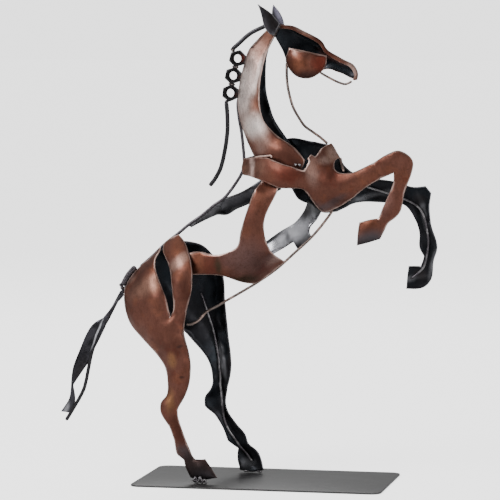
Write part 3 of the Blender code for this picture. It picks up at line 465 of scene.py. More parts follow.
class FinishSettings(bpy.types.PropertyGroup):
    """Colours of the finishes."""
    copper: color("Copper brown", "Main colour of the heated sheets", (0.18, 0.075, 0.054))
    umber: color("Umber", "Dark clouds of the patina", (0.085, 0.032, 0.023))
    rust: color("Rust", "Warm orange clouds of the patina", (0.245, 0.088, 0.048))
    oxblood: color("Oxblood", "Dark red patches", (0.13, 0.028, 0.018))
    plum: color("Plum", "Purplish brown of the flank", (0.18, 0.1, 0.09))
    ochre: color("Ochre", "Straw-coloured patches", (0.33, 0.17, 0.075))
    moss: color("Moss", "Dark greenish patches", (0.05, 0.04, 0.025))
    # Rose is also painted as highlights on the neck, cheek, lip, shoulder and thigh
    rose: color("Rose", "Rubbed pinkish metal", (0.58, 0.4, 0.34))
    # Tan is also painted as highlights on the thigh and as light on a facet of the shoulder
    tan: color("Tan", "Rubbed warm brown of shoulder and thigh", (0.36, 0.2, 0.145))
    # Pale is a painted highlight on the neck
    pale: color("Pale", "Rubbed bare metal of the neck", (0.92, 0.81, 0.76))
    # Slate is also a painted grey sheen along the lower edge of the shoulder
    slate: color("Slate", "Grey of the hooves and lower edges", (0.1, 0.09, 0.1))
    # Soot is also painted shade on the near ear's upper facet
    soot: color("Soot", "Nearly black scale", (0.025, 0.021, 0.022))
    smoke: color("Smoke black", "The inner side of the sheets", (0.015, 0.015, 0.018))
    teal: color("Blue black", "Bluish tint of the inner side", (0.014, 0.02, 0.026))
    # The grey sheen is painted reflection on the black sheets, their edges and the tail, and a tint in the
    # weld metal
    sheen: color("Grey sheen", "Rubbed places of the black sheets", (0.74, 0.74, 0.79))
    # Lavender is a painted highlight in the far ear's hollow
    lavender: color("Lavender", "Pale middle of the far ear", (0.36, 0.34, 0.45))
    charcoal: color("Charcoal", "Ears and tail", (0.05, 0.048, 0.057))
    # The cut edge colour is partly bright cut metal and partly painted highlight; on the band it paints a
    # highlight stripe
    edge: color("Cut edge", "The bright edge of a cut sheet", (0.85, 0.62, 0.55))
    rod_brown: color("Rod brown", "Thin rods of throat, belly and back", (0.19, 0.15, 0.135))
    rod_black: color("Rod black", "Rods of mane and tail", (0.035, 0.034, 0.037))
    nut: color("Nut steel", "Oiled black steel of the nuts", (0.02, 0.019, 0.02))
    weld: color("Weld", "Bare weld metal", (0.42, 0.41, 0.42))
    plate: color("Plate", "Black satin coat of the base plate", (0.024, 0.0235, 0.024))


class StageSettings(bpy.types.PropertyGroup):
    """The studio: the camera's place, the lights and the floor."""
    azimuth: angle("Azimuth", "Camera's turn about the horse, towards its head", 11.81)
    elevation: angle("Elevation", "Camera's height as an angle", 4.26)
    distance: number("Distance", "Camera to target", 2.5334, unit="LENGTH")
    target: bpy.props.FloatVectorProperty(
        name="Target", description="Point the camera looks at", default=(-0.01513, 0.0, 0.20255), size=3,
        subtype="TRANSLATION")
    lens: number("Lens", "Focal length in millimetres", 208.8)
    floor: color("Floor", "Colour of the floor", (0.85, 0.85, 0.85))
    surround: number("Surround", "Light of the pale surround", 0.36)
    backdrop: number("Backdrop", "Strength of the surround where the camera looks straight at it", 2.3)
    key: number("Key light", "Upper left", 28, unit="POWER")
    fill: number("Fill light", "Right of the camera", 48, unit="POWER")
    rim: number("Rim light", "Behind and above", 12, unit="POWER")


def solid_of(node):
    """A merged copy of a node's solid."""
    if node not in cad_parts:
        raise RuntimeError("There is no solid called " + node)
    solid = bmesh.new()
    solid.from_mesh(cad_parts[node].data)
    bmesh.ops.remove_doubles(solid, verts=solid.verts, dist=MERGE)
    solid.faces.ensure_lookup_table()
    return solid


def inner_face(node, thickness):
    """Points and triangles of a sheet's inner face, turned to point outwards, from its solid."""
    solid = solid_of(node)
    rim = {face for face in solid.faces
           if any(abs(edge.calc_length() - thickness) < thickness * THICKNESS_ROOM for edge in face.edges)}
    shells = []
    seen = set(rim)
    for start in solid.faces:
        if start in seen:
            continue
        seen.add(start)
        shell = [start]
        for face in shell:
            for edge in face.edges:
                for other in edge.link_faces:
                    if other not in seen:
                        seen.add(other)
                        shell.append(other)
        shells.append(shell)
    shells.sort(key=lambda shell: -sum(face.calc_area() for face in shell))
    facing = [sum(face.normal.y * face.calc_area() for face in shell) for shell in shells[:2]]
    inner = shells[facing.index(min(facing) if node in FACE_FAR else max(facing))]
    corners = sorted({vertex for face in inner for vertex in face.verts}, key=lambda vertex: vertex.index)
    place = {vertex: index for index, vertex in enumerate(corners)}
    points = np.array([tuple(vertex.co) for vertex in corners])
    faces = np.array([[place[vertex] for vertex in reversed(face.verts)] for face in inner])
    solid.free()
    return points, faces


def sides_of(faces):
    """The three sides of every triangle, as pairs of points."""
    return np.concatenate([faces[:, [0, 1]], faces[:, [1, 2]], faces[:, [2, 0]]])


class Splitter:
    """Splits the triangles of an open surface in four and smooths it, with its outline and corners kept."""

    def __init__(self, faces, corner):
        self.edges, self.which, uses = np.unique(
            np.sort(sides_of(faces), axis=1), axis=0, return_inverse=True, return_counts=True)
        self.which = self.which.reshape(-1)
        self.faces = faces
        self.rim = uses == 1
        self.corner = corner
        self.count = len(corner)

    def finer(self, points):
        """The old points smoothed, then a new point on each side, by the usual weights of such a split."""
        one, two = self.edges[:, 0], self.edges[:, 1]
        across = np.zeros((len(self.edges), points.shape[1]))
        opposite = np.concatenate([self.faces[:, 2], self.faces[:, 0], self.faces[:, 1]])
        np.add.at(across, self.which, points[opposite])
        middle = SIDE_ENDS * (points[one] + points[two]) + SIDE_ACROSS * across
        middle[self.rim] = 0.5 * (points[one] + points[two])[self.rim]

        around = np.zeros_like(points)
        ways = np.zeros(self.count)
        np.add.at(around, one, points[two])
        np.add.at(around, two, points[one])
        np.add.at(ways, one, 1)
        np.add.at(ways, two, 1)
        share = (0.625 - (0.375 + 0.25 * np.cos(2 * math.pi / ways)) ** 2) / ways
        moved = (1 - ways * share)[:, None] * points + share[:, None] * around

        beside = np.zeros_like(points)
        np.add.at(beside, one[self.rim], points[two[self.rim]])
        np.add.at(beside, two[self.rim], points[one[self.rim]])
        on_rim = np.zeros(self.count, bool)
        on_rim[self.edges[self.rim].reshape(-1)] = True
        moved[on_rim] = RIM_OWN * points[on_rim] + RIM_BESIDE * beside[on_rim]
        moved[self.corner] = points[self.corner]
        return np.concatenate([moved, middle])

    def split_faces(self):
        size = len(self.faces)
        ab, bc, ca = (self.which[turn * size:(turn + 1) * size] + self.count for turn in range(3))
        a, b, c = self.faces.T
        parts = [(a, ab, ca), (b, bc, ab), (c, ca, bc), (ab, bc, ca)]
        return np.concatenate([np.stack(part, axis=1) for part in parts])


def outline_corners(points, faces, limit):
    """Which points of an open surface are sharp turns of its outline."""
    known = {tuple(side) for side in sides_of(faces)}
    after = {one: two for one, two in known if (two, one) not in known}
    before = {two: one for one, two in after.items()}
    corner = np.zeros(len(points), bool)
    for index, following in after.items():
        came = Vector(points[index] - points[before[index]])
        goes = Vector(points[following] - points[index])
        corner[index] = came.angle(goes, 0.0) > limit
    return corner


def smooth_surface(points, faces, corner, levels):
    """The finely split surface that passes through the given points."""
    splitters = []
    shape, marks = faces, corner
    for _ in range(levels):
        splitter = Splitter(shape, marks)
        splitters.append(splitter)
        shape = splitter.split_faces()
        marks = np.concatenate([marks, np.zeros(len(splitter.edges), bool)])
    guide = points.copy()
    for _ in range(FIT_ROUNDS):
        fine = guide
        for splitter in splitters:
            fine = splitter.finer(fine)
        guide = guide + points - fine[:len(points)]
    return fine, shape


def near_edge(points, faces, reach):
    """How close each point is to the outline, from 1 on it to 0 a few reaches away."""
    sides = sides_of(faces)
    _, first, uses = np.unique(np.sort(sides, axis=1), axis=0, return_index=True, return_counts=True)
    rim = np.unique(sides[first[uses == 1]])
    tree = kdtree.KDTree(len(rim))
    for index in rim:
        tree.insert(points[index], int(index))
    tree.balance()
    away = np.array([tree.find(point)[2] for point in points])
    return np.exp(-away / reach)


def dented(points, faces, near_rim, depth, size, seed):
    """The surface pushed in and out a little, as a ball hammer leaves it."""
    corners = points[faces]
    normals = np.zeros_like(points)
    flat = np.cross(corners[:, 1] - corners[:, 0], corners[:, 2] - corners[:, 0])
    for turn in range(3):
        np.add.at(normals, faces[:, turn], flat)
    normals /= np.maximum(np.linalg.norm(normals, axis=1), NO_LENGTH)[:, None]
    shift = Vector([seed * step for step in NOISE_STEPS])
    push = np.array([noise.noise(Vector(point) / size + shift) for point in points])
    return points + normals * (push * depth * (1 - near_rim))[:, None]


def path_of(node):
    """The middle line and the radius of a round rod, from the rings of points of its solid."""
    solid = solid_of(node)
    ends = [edge for edge in solid.edges if edge.calc_face_angle() > CAP_TURN]
    ring = {ends[0].verts[0]}
    for _ in ends:
        ring |= {vertex for edge in ends if set(edge.verts) & ring for vertex in edge.verts}
    rings = []
    seen = set()
    while ring:
        rings.append([vertex.co.copy() for vertex in ring])
        seen |= ring
        ring = {edge.other_vert(vertex) for vertex in ring for edge in vertex.link_edges} - seen
    solid.free()
    centers = [sum(spots, Vector()) / len(spots) for spots in rings]
    radius = sum((spot - centers[0]).length for spot in rings[0]) / len(rings[0])
    return centers, radius


def path_mesh(name, runs):
    """Open lines as one mesh, each with its half width kept on its points."""
    points = []
    edges = []
    sizes = []
    for line, size in runs:
        edges += [(len(points) + step, len(points) + step + 1) for step in range(len(line) - 1)]
        points += [tuple(point) for point in line]
        sizes += [size] * len(line)
    mesh = bpy.data.meshes.new(name)
    mesh.from_pydata(points, edges, [])
    mesh.attributes.new("size", "FLOAT", "POINT").data.foreach_set("value", sizes)
    return mesh


def add(tree, kind, inputs=(), **settings):
    """A node with its settings made, and its inputs joined to sockets or given values."""
    node = tree.nodes.new(kind)
    for name, value in settings.items():
        setattr(node, name, value)
    for key, value in dict(inputs).items():
        if isinstance(value, bpy.types.NodeSocket):
            tree.links.new(value, node.inputs[key])
        else:
            node.inputs[key].default_value = value
    return node


def made(tree, kind, inputs=(), **settings):
    """The first output of a new node."""
    return add(tree, kind, inputs, **settings).outputs[0]


def calc(tree, operation, *values):
    """The result of one sum."""
    return made(tree, "ShaderNodeMath", dict(enumerate(values)), operation=operation)


def move(tree, operation, *values):
    """The result of one sum of vectors."""
    return made(tree, "ShaderNodeVectorMath", dict(enumerate(values)), operation=operation)


def ramp(tree, value, start, end, low=0.0, high=1.0, ease="SMOOTHSTEP"):
    """A value that goes from low to high while another goes from start to end."""
    return made(tree, "ShaderNodeMapRange", {
        "Value": value, "From Min": start, "From Max": end, "To Min": low, "To Max": high},
        interpolation_type=ease)


def field(tree, size, inputs, **settings):
    """Noise with waves of about the given size."""
    return add(tree, "ShaderNodeTexNoise", {"Scale": calc(tree, "DIVIDE", 1.0, size), **inputs},
               **settings).outputs["Fac"]


def kept(tree, name):
    """A number that is kept on the points."""
    return made(tree, "GeometryNodeInputNamedAttribute", {"Name": name}, data_type="FLOAT")


def ended(tree, outputs):
    """A tree with its outputs joined."""
    add(tree, "NodeGroupOutput", outputs)
    return tree


def evenly(tree, line, step):
    """A line with its points one step apart."""
    return made(tree, "GeometryNodeResampleCurve", {"Curve": line, "Length": step}, mode="LENGTH")


def turned(tree, vector, turn):
    """A vector turned about the Y axis."""
    return made(tree, "ShaderNodeVectorRotate", {"Vector": vector, "Axis": (0.0, 1.0, 0.0), "Angle": turn})


def shape_tree(name, inputs):
    """An empty tree that makes a shape, with its named inputs."""
    tree = bpy.data.node_groups.new(name, "GeometryNodeTree")
    for label, kind in inputs.items():
        tree.interface.new_socket(label, in_out="INPUT", socket_type="NodeSocket" + kind)
    tree.interface.new_socket("Shape", in_out="OUTPUT", socket_type="NodeSocketGeometry")
    return tree, tree.nodes.new("NodeGroupInput").outputs


def end_tree(tree, shape, material, smooth=True):
    """Finish a tree: smooth shading, real geometry and its material."""
    if smooth:
        shape = made(tree, "GeometryNodeSetShadeSmooth", {"Geometry": shape})
    real = made(tree, "GeometryNodeRealizeInstances", {"Geometry": shape})
    painted = made(tree, "GeometryNodeSetMaterial", {"Geometry": real, "Material": material})
    return ended(tree, {"Shape": painted})


def uneven(tree, shape, size, depth, seed):
    """The shape with its points pushed in and out along their normals."""
    bumps = field(tree, size, {"W": seed, "Detail": 3.0}, noise_dimensions="4D")
    push = calc(tree, "MULTIPLY", calc(tree, "SUBTRACT", bumps, 0.5), depth)
    away = made(tree, "ShaderNodeVectorMath", {
        0: made(tree, "GeometryNodeInputNormal"), "Scale": calc(tree, "MULTIPLY", push, 2.0)},
        operation="SCALE")
    return made(tree, "GeometryNodeSetPosition", {"Geometry": shape, "Offset": away})


def rod_tree():
    """Nodes that turn a path into a round rod with eased ends, uneven as a bent and blackened rod is."""
    tree, given = shape_tree("rod_along_path", {
        "Path": "Geometry", "Spacing": "Float", "Sides": "Int", "Lump": "Float", "Lump Size": "Float",
        "Rib Depth": "Float", "Rib Pitch": "Float", "Seed": "Float", "Material": "Material"})
    line = made(tree, "GeometryNodeMeshToCurve", {"Mesh": given["Path"]})
    curved = made(tree, "GeometryNodeCurveSplineType", {"Curve": line}, spline_type="CATMULL_ROM")
    even = evenly(tree, curved, given["Spacing"])
    size = kept(tree, "size")
    along = add(tree, "GeometryNodeSplineParameter").outputs["Length"]
    whole = add(tree, "GeometryNodeSplineLength").outputs["Length"]
    to_end = calc(tree, "MINIMUM", along, calc(tree, "SUBTRACT", whole, along))
    eased = ramp(tree, calc(tree, "DIVIDE", to_end, size), 0.0, END_REACH, END_SIZE)
    turn = calc(tree, "MULTIPLY", calc(tree, "DIVIDE", along, given["Rib Pitch"]), math.tau)
    rib = calc(tree, "MULTIPLY", calc(tree, "SINE", turn), given["Rib Depth"])
    radius = calc(tree, "MULTIPLY", calc(tree, "ADD", size, rib), eased)
    ring = made(tree, "GeometryNodeCurvePrimitiveCircle", {"Resolution": given["Sides"], "Radius": 1.0})
    skin = made(tree, "GeometryNodeCurveToMesh", {
        "Curve": even, "Profile Curve": ring, "Scale": radius, "Fill Caps": True})
    rough = uneven(tree, skin, given["Lump Size"], given["Lump"], given["Seed"])
    return end_tree(tree, rough, given["Material"])


def bead_tree():
    """Nodes that lay a weld bead along a path: overlapping ripples of metal that froze one after another."""
    tree, given = shape_tree("bead_along_path", {
        "Path": "Geometry", "Ripple": "Float", "Flatness": "Float", "Lump": "Float", "Seed": "Int",
        "Material": "Material"})
    line = made(tree, "GeometryNodeMeshToCurve", {"Mesh": given["Path"]})
    even = evenly(tree, line, given["Ripple"])
    least, most = RIPPLE_SIZES
    vary = add(tree, "FunctionNodeRandomValue", {2: least, 3: most, "Seed": given["Seed"]}, data_type="FLOAT")
    wide = calc(tree, "MULTIPLY", kept(tree, "size"), vary.outputs[1])
    low = calc(tree, "MULTIPLY", wide, given["Flatness"])
    spread = made(tree, "ShaderNodeCombineXYZ", {"X": wide, "Y": wide, "Z": low})
    drop = made(tree, "GeometryNodeMeshIcoSphere", {"Radius": 1.0, "Subdivisions": 4})
    drops = made(tree, "GeometryNodeInstanceOnPoints", {"Points": even, "Instance": drop, "Scale": spread})
    real = made(tree, "GeometryNodeRealizeInstances", {"Geometry": drops})
    return end_tree(tree, uneven(tree, real, BEAD_LUMPS, given["Lump"], given["Seed"]), given["Material"])


def nut_tree():
    """Nodes that set the same nut on each point of a row, turned by the angle kept on the point."""
    tree, given = shape_tree("nuts_in_a_row", {"Row": "Geometry", "Nut": "Object", "Material": "Material"})
    facing = made(tree, "FunctionNodeAxisAngleToRotation", {
        "Axis": (0.0, 1.0, 0.0), "Angle": kept(tree, "turn")})
    shape = add(tree, "GeometryNodeObjectInfo", {"Object": given["Nut"]}).outputs["Geometry"]
    nuts = made(tree, "GeometryNodeInstanceOnPoints", {
        "Points": given["Row"], "Instance": shape, "Rotation": facing})
    return end_tree(tree, nuts, given["Material"], smooth=False)


def placed(name, data):
    """A new object in the scene."""
    thing = bpy.data.objects.new(name, data)
    bpy.context.scene.collection.objects.link(thing)
    return thing


def grown(name, start, tree, values):
    """The plain mesh that a tree of nodes makes from a starting mesh."""
    maker = placed(name, start)
    nodes = maker.modifiers.new(tree.name, "NODES")
    nodes.node_group = tree
    for item in tree.interface.items_tree:
        if item.in_out == "INPUT" and item.name in values:
            nodes[item.identifier] = values[item.name]
    depsgraph = bpy.context.evaluated_depsgraph_get()
    mesh = bpy.data.meshes.new_from_object(maker.evaluated_get(depsgraph))
    mesh.name = name
    bpy.data.objects.remove(maker)
    bpy.data.meshes.remove(start)
    if not mesh.polygons:
        raise RuntimeError("Nothing was made for " + name)
    return mesh


def shared_tree(name, build):
    """A tree by name, built the first time it is asked for."""
    return bpy.data.node_groups.get(name) or build()


def show(name, mesh, slot, *nodes):
    """Put a finished mesh in the scene in place of its solids."""
    piece = placed(name, mesh)
    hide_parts(*nodes)
    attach(piece, BODY)
    return piece


def effect(name, inputs, outputs):
    """An empty shader node group: inputs with their first values, vectors where these are tuples or None."""
    tree = bpy.data.node_groups.new(name, "ShaderNodeTree")
    for label, value in inputs.items():
        kind = "NodeSocketFloat" if isinstance(value, float) else "NodeSocketVector"
        socket = tree.interface.new_socket(label, in_out="INPUT", socket_type=kind)
        if value is not None:
            socket.default_value = value
    for label in outputs:
        tree.interface.new_socket(label, in_out="OUTPUT", socket_type="NodeSocketFloat")
    return tree, tree.nodes.new("NodeGroupInput").outputs


def clouds_group():
    """Soft clouds of a given size: 1 inside them, 0 between."""
    tree, given = effect("clouds", {
        "Vector": None, "Size": 0.02, "Low": 0.42, "High": 0.62, "Seed": 0.0}, ["Mask"])
    waves = field(tree, given["Size"], {
        "Vector": given["Vector"], "W": given["Seed"], "Detail": 3.0, "Roughness": 0.6},
        noise_dimensions="4D")
    return ended(tree, {"Mask": ramp(tree, waves, given["Low"], given["High"])})


def streaks_group():
    """Fine marks drawn down the sheet, longer than they are wide: 1 on them, 0 between."""
    tree, given = effect("drawn_streaks", {
        "Vector": None, "Size": 0.001, "Stretch": 0.12, "Turn": 0.0}, ["Mask"])
    squeeze = made(tree, "ShaderNodeCombineXYZ", {"X": 1.0, "Y": 1.0, "Z": given["Stretch"]})
    drawn = move(tree, "MULTIPLY", turned(tree, given["Vector"], given["Turn"]), squeeze)
    waves = field(tree, given["Size"], {"Vector": drawn, "Detail": 2.0})
    return ended(tree, {"Mask": ramp(tree, waves, *STREAK_ENDS)})


def patch_group():
    """A soft oval patch at one place, turned about the Y axis."""
    tree, given = effect("heat_patch", {
        "Vector": None, "Center": None, "Size": (0.01, 0.4, 0.01), "Turn": 0.0, "Strength": 1.0}, ["Mask"])
    away = move(tree, "SUBTRACT", given["Vector"], given["Center"])
    shared = move(tree, "DIVIDE", turned(tree, away, given["Turn"]), given["Size"])
    far = add(tree, "ShaderNodeVectorMath", {0: shared}, operation="LENGTH").outputs["Value"]
    return ended(tree, {"Mask": ramp(tree, far, *PATCH_ENDS, given["Strength"], 0.0, ease="SMOOTHERSTEP")})


def hammer_group():
    """Height of a surface beaten with a ball hammer, with finer marks over the dents."""
    tree, given = effect("hammer_marks", {"Vector": None, "Dent": 0.005, "Fine": 0.0012}, ["Height"])
    dents = add(tree, "ShaderNodeTexVoronoi", {
        "Vector": given["Vector"], "Scale": calc(tree, "DIVIDE", 1.0, given["Dent"]), "Smoothness": 0.7},
        feature="SMOOTH_F1").outputs["Distance"]
    fine = field(tree, given["Fine"], {"Vector": given["Vector"], "Detail": 2.0})
    return ended(tree, {"Height": calc(tree, "ADD", dents, calc(tree, "MULTIPLY", fine, FINE_SHARE))})


def grain_group():
    """Fine grain of scale and soot: small dark pits, and a faint height."""
    tree, given = effect("fine_grain", {"Vector": None, "Size": 0.0006, "Amount": 0.5}, ["Pits", "Height"])
    waves = field(tree, given["Size"], {"Vector": given["Vector"], "Detail": 3.0, "Roughness": 0.7})
    pits = ramp(tree, waves, *PIT_ENDS, 0.0, given["Amount"], ease="LINEAR")
    return ended(tree, {"Pits": pits, "Height": waves})


def edge_group():
    """A bright band along the edge of a sheet, in broken stretches: partly bright cut metal, partly painted
    highlight.
    """
    tree, given = effect("bright_edge", {"Vector": None, "Near": 0.0, "Start": 0.5, "Amount": 0.8}, ["Mask"])
    band = ramp(tree, given["Near"], given["Start"], EDGE_FULL, 0.0, given["Amount"])
    broken = add(tree, "ShaderNodeTexNoise", {
        "Vector": given["Vector"], "Scale": BREAK_SCALE, "Detail": 2.0}).outputs["Fac"]
    share = ramp(tree, broken, *BREAK_ENDS, BREAK_LEAST, ease="LINEAR")
    return ended(tree, {"Mask": calc(tree, "MULTIPLY", band, share)})


class Finish:
    """A material put together from its recipe: its coordinates, its layers of colour, and its relief."""

    def __init__(self, name):
        recipe = FINISHES[name]
        self.material = bpy.data.materials.new(name)
        self.material.use_nodes = True
        self.tree = self.material.node_tree
        self.place = add(self.tree, "ShaderNodeTexCoord").outputs["Object"]
        self.color = self.paint(recipe["base"])
        self.grains = None
        for step, *values in recipe["layers"]:
            getattr(self, step)(*values)
        inputs = self.tree.nodes["Principled BSDF"].inputs
        inputs["Metallic"].default_value = recipe["metallic"]
        if "specular" in recipe:
            inputs["Specular IOR Level"].default_value = recipe["specular"]
        size, seed, least, most = recipe["rough"]
        rougher = self.cloud_mask(size, *ROUGH_ENDS, seed)
        rough = ramp(self.tree, rougher, 0.0, 1.0, least, most, ease="LINEAR")
        self.tree.links.new(self.color, inputs["Base Color"])
        self.tree.links.new(rough, inputs["Roughness"])
        self.tree.links.new(self.relief(recipe), inputs["Normal"])

    def paint(self, name):
        """A colour of the settings as a socket value."""
        return (*getattr(bpy.context.scene.horse_finish, name), 1.0)

    def group(self, name, build, inputs):
        """One of the shared effects, with this material's own values."""
        return add(self.tree, "ShaderNodeGroup", {"Vector": self.place, **inputs},
                   node_tree=shared_tree(name, build)).outputs

    def blend(self, name, mask):
        """Lay a colour over what is there, where the mask is."""
        mixed = add(self.tree, "ShaderNodeMix", {0: mask, 6: self.color, 7: self.paint(name)},
                    data_type="RGBA")
        self.color = mixed.outputs[2]

    def cloud_mask(self, size, low, high, seed):
        return self.group("clouds", clouds_group, {
            "Size": size * MM, "Low": low, "High": high, "Seed": float(seed)})["Mask"]

    def streak_mask(self, size, turn):
        return self.group("drawn_streaks", streaks_group, {
            "Size": size * MM, "Turn": math.radians(turn)})["Mask"]

    def patch_mask(self, spot, place):
        x, z, long, wide, turn, _, strength = spot
        return self.group("heat_patch", patch_group, {
            "Vector": place, "Center": (x * MM, 0.0, z * MM), "Size": (long * MM, PATCH_DEPTH, wide * MM),
            "Turn": math.radians(turn), "Strength": strength})["Mask"]

    def clouds(self, name, size, low, high, seed, strength):
        """A layer of soft clouds."""
        self.blend(name, calc(self.tree, "MULTIPLY", self.cloud_mask(size, low, high, seed), strength))

    def streaks(self, name, size, turn, strength):
        """A layer of fine marks all over."""
        self.blend(name, calc(self.tree, "MULTIPLY", self.streak_mask(size, turn), strength))

    def worn(self, spot, size, turn):
        """A layer of fine marks in one patch."""
        self.blend(spot[5], calc(self.tree, "MULTIPLY", self.patch_mask(spot, self.place),
                                 self.streak_mask(size, turn)))

    def patches(self, spots, wander):
        """Every patch of a list, its outline wandering inside a band as wide as the given millimetres."""
        shake = add(self.tree, "ShaderNodeTexNoise", {
            "Vector": self.place, "Scale": WANDER_SCALE, "Detail": 2.0}).outputs["Color"]
        off = move(self.tree, "SUBTRACT", shake, (0.5, 0.5, 0.5))
        moved = move(self.tree, "MULTIPLY_ADD", off, (wander * MM,) * 3, self.place)
        for spot in spots:
            self.blend(spot[5], self.patch_mask(spot, moved))

    def grain(self, size, amount):
        """A layer of small dark pits."""
        outputs = self.group("fine_grain", grain_group, {"Size": size * MM, "Amount": amount})
        self.blend("soot", outputs["Pits"])
        self.grains = outputs["Height"]

    def bright_edge(self, name, start, amount):
        """Lighten the edge of the sheet, by how near the cut is: partly bright cut metal, partly painted
        highlight.
        """
        near = add(self.tree, "ShaderNodeAttribute", attribute_name="cut_near").outputs["Fac"]
        self.blend(name, self.group("bright_edge", edge_group, {
            "Near": near, "Start": start, "Amount": amount})["Mask"])

    def relief(self, recipe):
        """Dents, with the grain over them."""
        heights = []
        if "dents" in recipe:
            dent, fine, depth = recipe["dents"]
            marks = self.group("hammer_marks", hammer_group, {"Dent": dent * MM, "Fine": fine * MM})
            heights.append((marks["Height"], depth))
        if "grain" in recipe:
            heights.append((self.grains, recipe["grain"]))
        below = {}
        for height, depth in heights:
            normal = made(self.tree, "ShaderNodeBump", {
                "Height": height, "Strength": 1.0, "Distance": depth * MM, **below})
            below = {"Normal": normal}
        return normal


def look(name):
    """A finish by name, made the first time it is asked for."""
    return bpy.data.materials.get(name) or Finish(name).material


def make_sheet(node, slot, outside, inside, cut, seed):
    """One hammered sheet with its outside, inside and cut edge."""
    settings = bpy.context.scene.horse_sheet
    points, faces = inner_face(node, settings.thickness)
    corner = outline_corners(points, faces, settings.corner)
    points, faces = smooth_surface(points, faces, corner, settings.levels)
    rim = near_edge(points, faces, settings.edge_reach)
    points = dented(points, faces, rim, settings.dent_depth, settings.dent_size, seed)
    mesh = bpy.data.meshes.new(node + "_sheet")
    mesh.from_pydata(points.tolist(), [], faces.tolist())
    if node in DULL_RIMS:
        rim = rim * DULL
    mesh.attributes.new("cut_near", "FLOAT", "POINT").data.foreach_set("value", rim.astype(np.float32))
    mesh.shade_smooth()
    for name in (outside, inside, cut):
        mesh.materials.append(look(name))
    wall = show(node + "_sheet", mesh, slot, node).modifiers.new("Sheet", "SOLIDIFY")
    wall.thickness = settings.thickness
    wall.offset = 1.0
    wall.use_even_offset = False
    wall.material_offset = 1
    wall.material_offset_rim = 2


def make_round(name, line, half, slot, finish, spacing, rib_depth, seed, *nodes):
    """One round piece along a line."""
    settings = bpy.context.scene.horse_rod
    mesh = grown(name, path_mesh(name, [(line, half)]), shared_tree("rod_along_path", rod_tree), {
        "Spacing": spacing, "Sides": settings.sides, "Lump": settings.lump, "Lump Size": settings.lump_size,
        "Rib Depth": rib_depth, "Rib Pitch": settings.rib_pitch, "Seed": float(seed),
        "Material": look(finish)})
    show(name, mesh, slot, *nodes)


def make_rod(node, slot, finish, spacing, rib_depth, seed):
    """One rod along the middle line of its solid."""
    centers, radius = path_of(node)
    half = radius + bpy.context.scene.horse_rod.scale_coat
    make_round(node + "_round", centers, half, slot, finish, spacing, rib_depth, seed, node)


def drawn_line(points):
    """Points in millimetres as a line."""
    return [Vector(point) * MM for point in points]


def nut_mesh(settings):
    """A threaded nut with its corners chamfered, its hole along Y and a corner towards +X."""
    crest = settings.bore / 2 - settings.thread_depth
    half = settings.thickness / 2
    around = np.arange(NUT_PARTS) * math.tau / NUT_PARTS
    side = settings.flats / 2 / np.cos((around % (math.tau / 6)) - math.tau / 12)
    rows = []
    count = round(settings.thickness / settings.thread_pitch * THREAD_PARTS)
    for height in np.linspace(-half, half, count):
        wave = (height / settings.thread_pitch - around / math.tau) % 1.0
        thread = crest + settings.thread_depth * np.abs(2 * wave - 1)
        sink = settings.bore / 2 * COUNTERSINK - (half - abs(height))
        rows.append((np.maximum(thread, sink), np.full(NUT_PARTS, height)))
    ease = settings.chamfer / 2
    fall = np.maximum(side - ease, 0) * math.tan(settings.chamfer_angle)
    face = np.full(NUT_PARTS, ease * CHAMFER_RIM)
    rows += [(face, np.full(NUT_PARTS, half)), (side, half - fall), (side, fall - half),
             (face, np.full(NUT_PARTS, -half))]
    points = [(radius * math.cos(turn), height, radius * math.sin(turn))
              for radii, heights in rows for radius, height, turn in zip(radii, heights, around)]
    faces = []
    for row in range(len(rows)):
        here = row * NUT_PARTS
        above = (row + 1) % len(rows) * NUT_PARTS
        for step in range(NUT_PARTS):
            beside = (step + 1) % NUT_PARTS
            faces.append((here + step, here + beside, above + beside, above + step))
    mesh = bpy.data.meshes.new("nut_shape")
    mesh.from_pydata(points, [], faces)
    shape = bmesh.new()
    shape.from_mesh(mesh)
    bmesh.ops.recalc_face_normals(shape, faces=shape.faces)
    shape.to_mesh(mesh)
    shape.free()
    mesh.shade_smooth()
    mesh.set_sharp_from_angle(angle=NUT_SMOOTH)
    return mesh


def nut_place(node):
    """Centre of a nut's solid, and the turn from +X of one of its corners."""
    solid = solid_of(node)
    points = np.array([tuple(vertex.co) for vertex in solid.verts])
    solid.free()
    center = (points.min(axis=0) + points.max(axis=0)) / 2
    away = np.hypot(*(points - center)[:, [0, 2]].T)
    center[[0, 2]] = points[away > bpy.context.scene.horse_nut.flats / 2][:, [0, 2]].mean(axis=0)
    away = points - center
    corner = away[np.argmax(np.hypot(away[:, 0], away[:, 2]))]
    return center, -math.atan2(corner[2], corner[0])


class HORSE_OT_sheets(bpy.types.Operator):
    """Make every hammered sheet of the horse"""
    bl_idname = "horse.sheets"
    bl_label = "Sheets"

    def execute(self, context):
        for seed, node in enumerate(NEAR_SHEETS + FAR_SHEETS):
            slot = "patina_sheet" if node in NEAR_SHEETS + ["head"] else "black_sheet"
            cut = "cut_edge" if slot == "patina_sheet" else "cut_edge_dark"
            make_sheet(node, slot, "copper_patina", "smoke_black", cut, seed)
        half = context.scene.horse_sheet.curl
        spacing = context.scene.horse_rod.spacing
        make_round("band_curl", drawn_line(BAND_CURL), half, "patina_sheet", "cut_edge", spacing, 0.0,
                   CURL_SEED)
        return {"FINISHED"}


class HORSE_OT_leaves(bpy.types.Operator):
    """Make the ears and the two leaves of the tail"""
    bl_idname = "horse.leaves"
    bl_label = "Ears and tail"

    def execute(self, context):
        for seed, node in enumerate(DARK_SHEETS, DARK_SEED):
            finish = "far_ear_steel" if node == "far_ear" else "charcoal_steel"
            make_sheet(node, "black_sheet", finish, finish, "cut_edge_dark", seed)
        return {"FINISHED"}


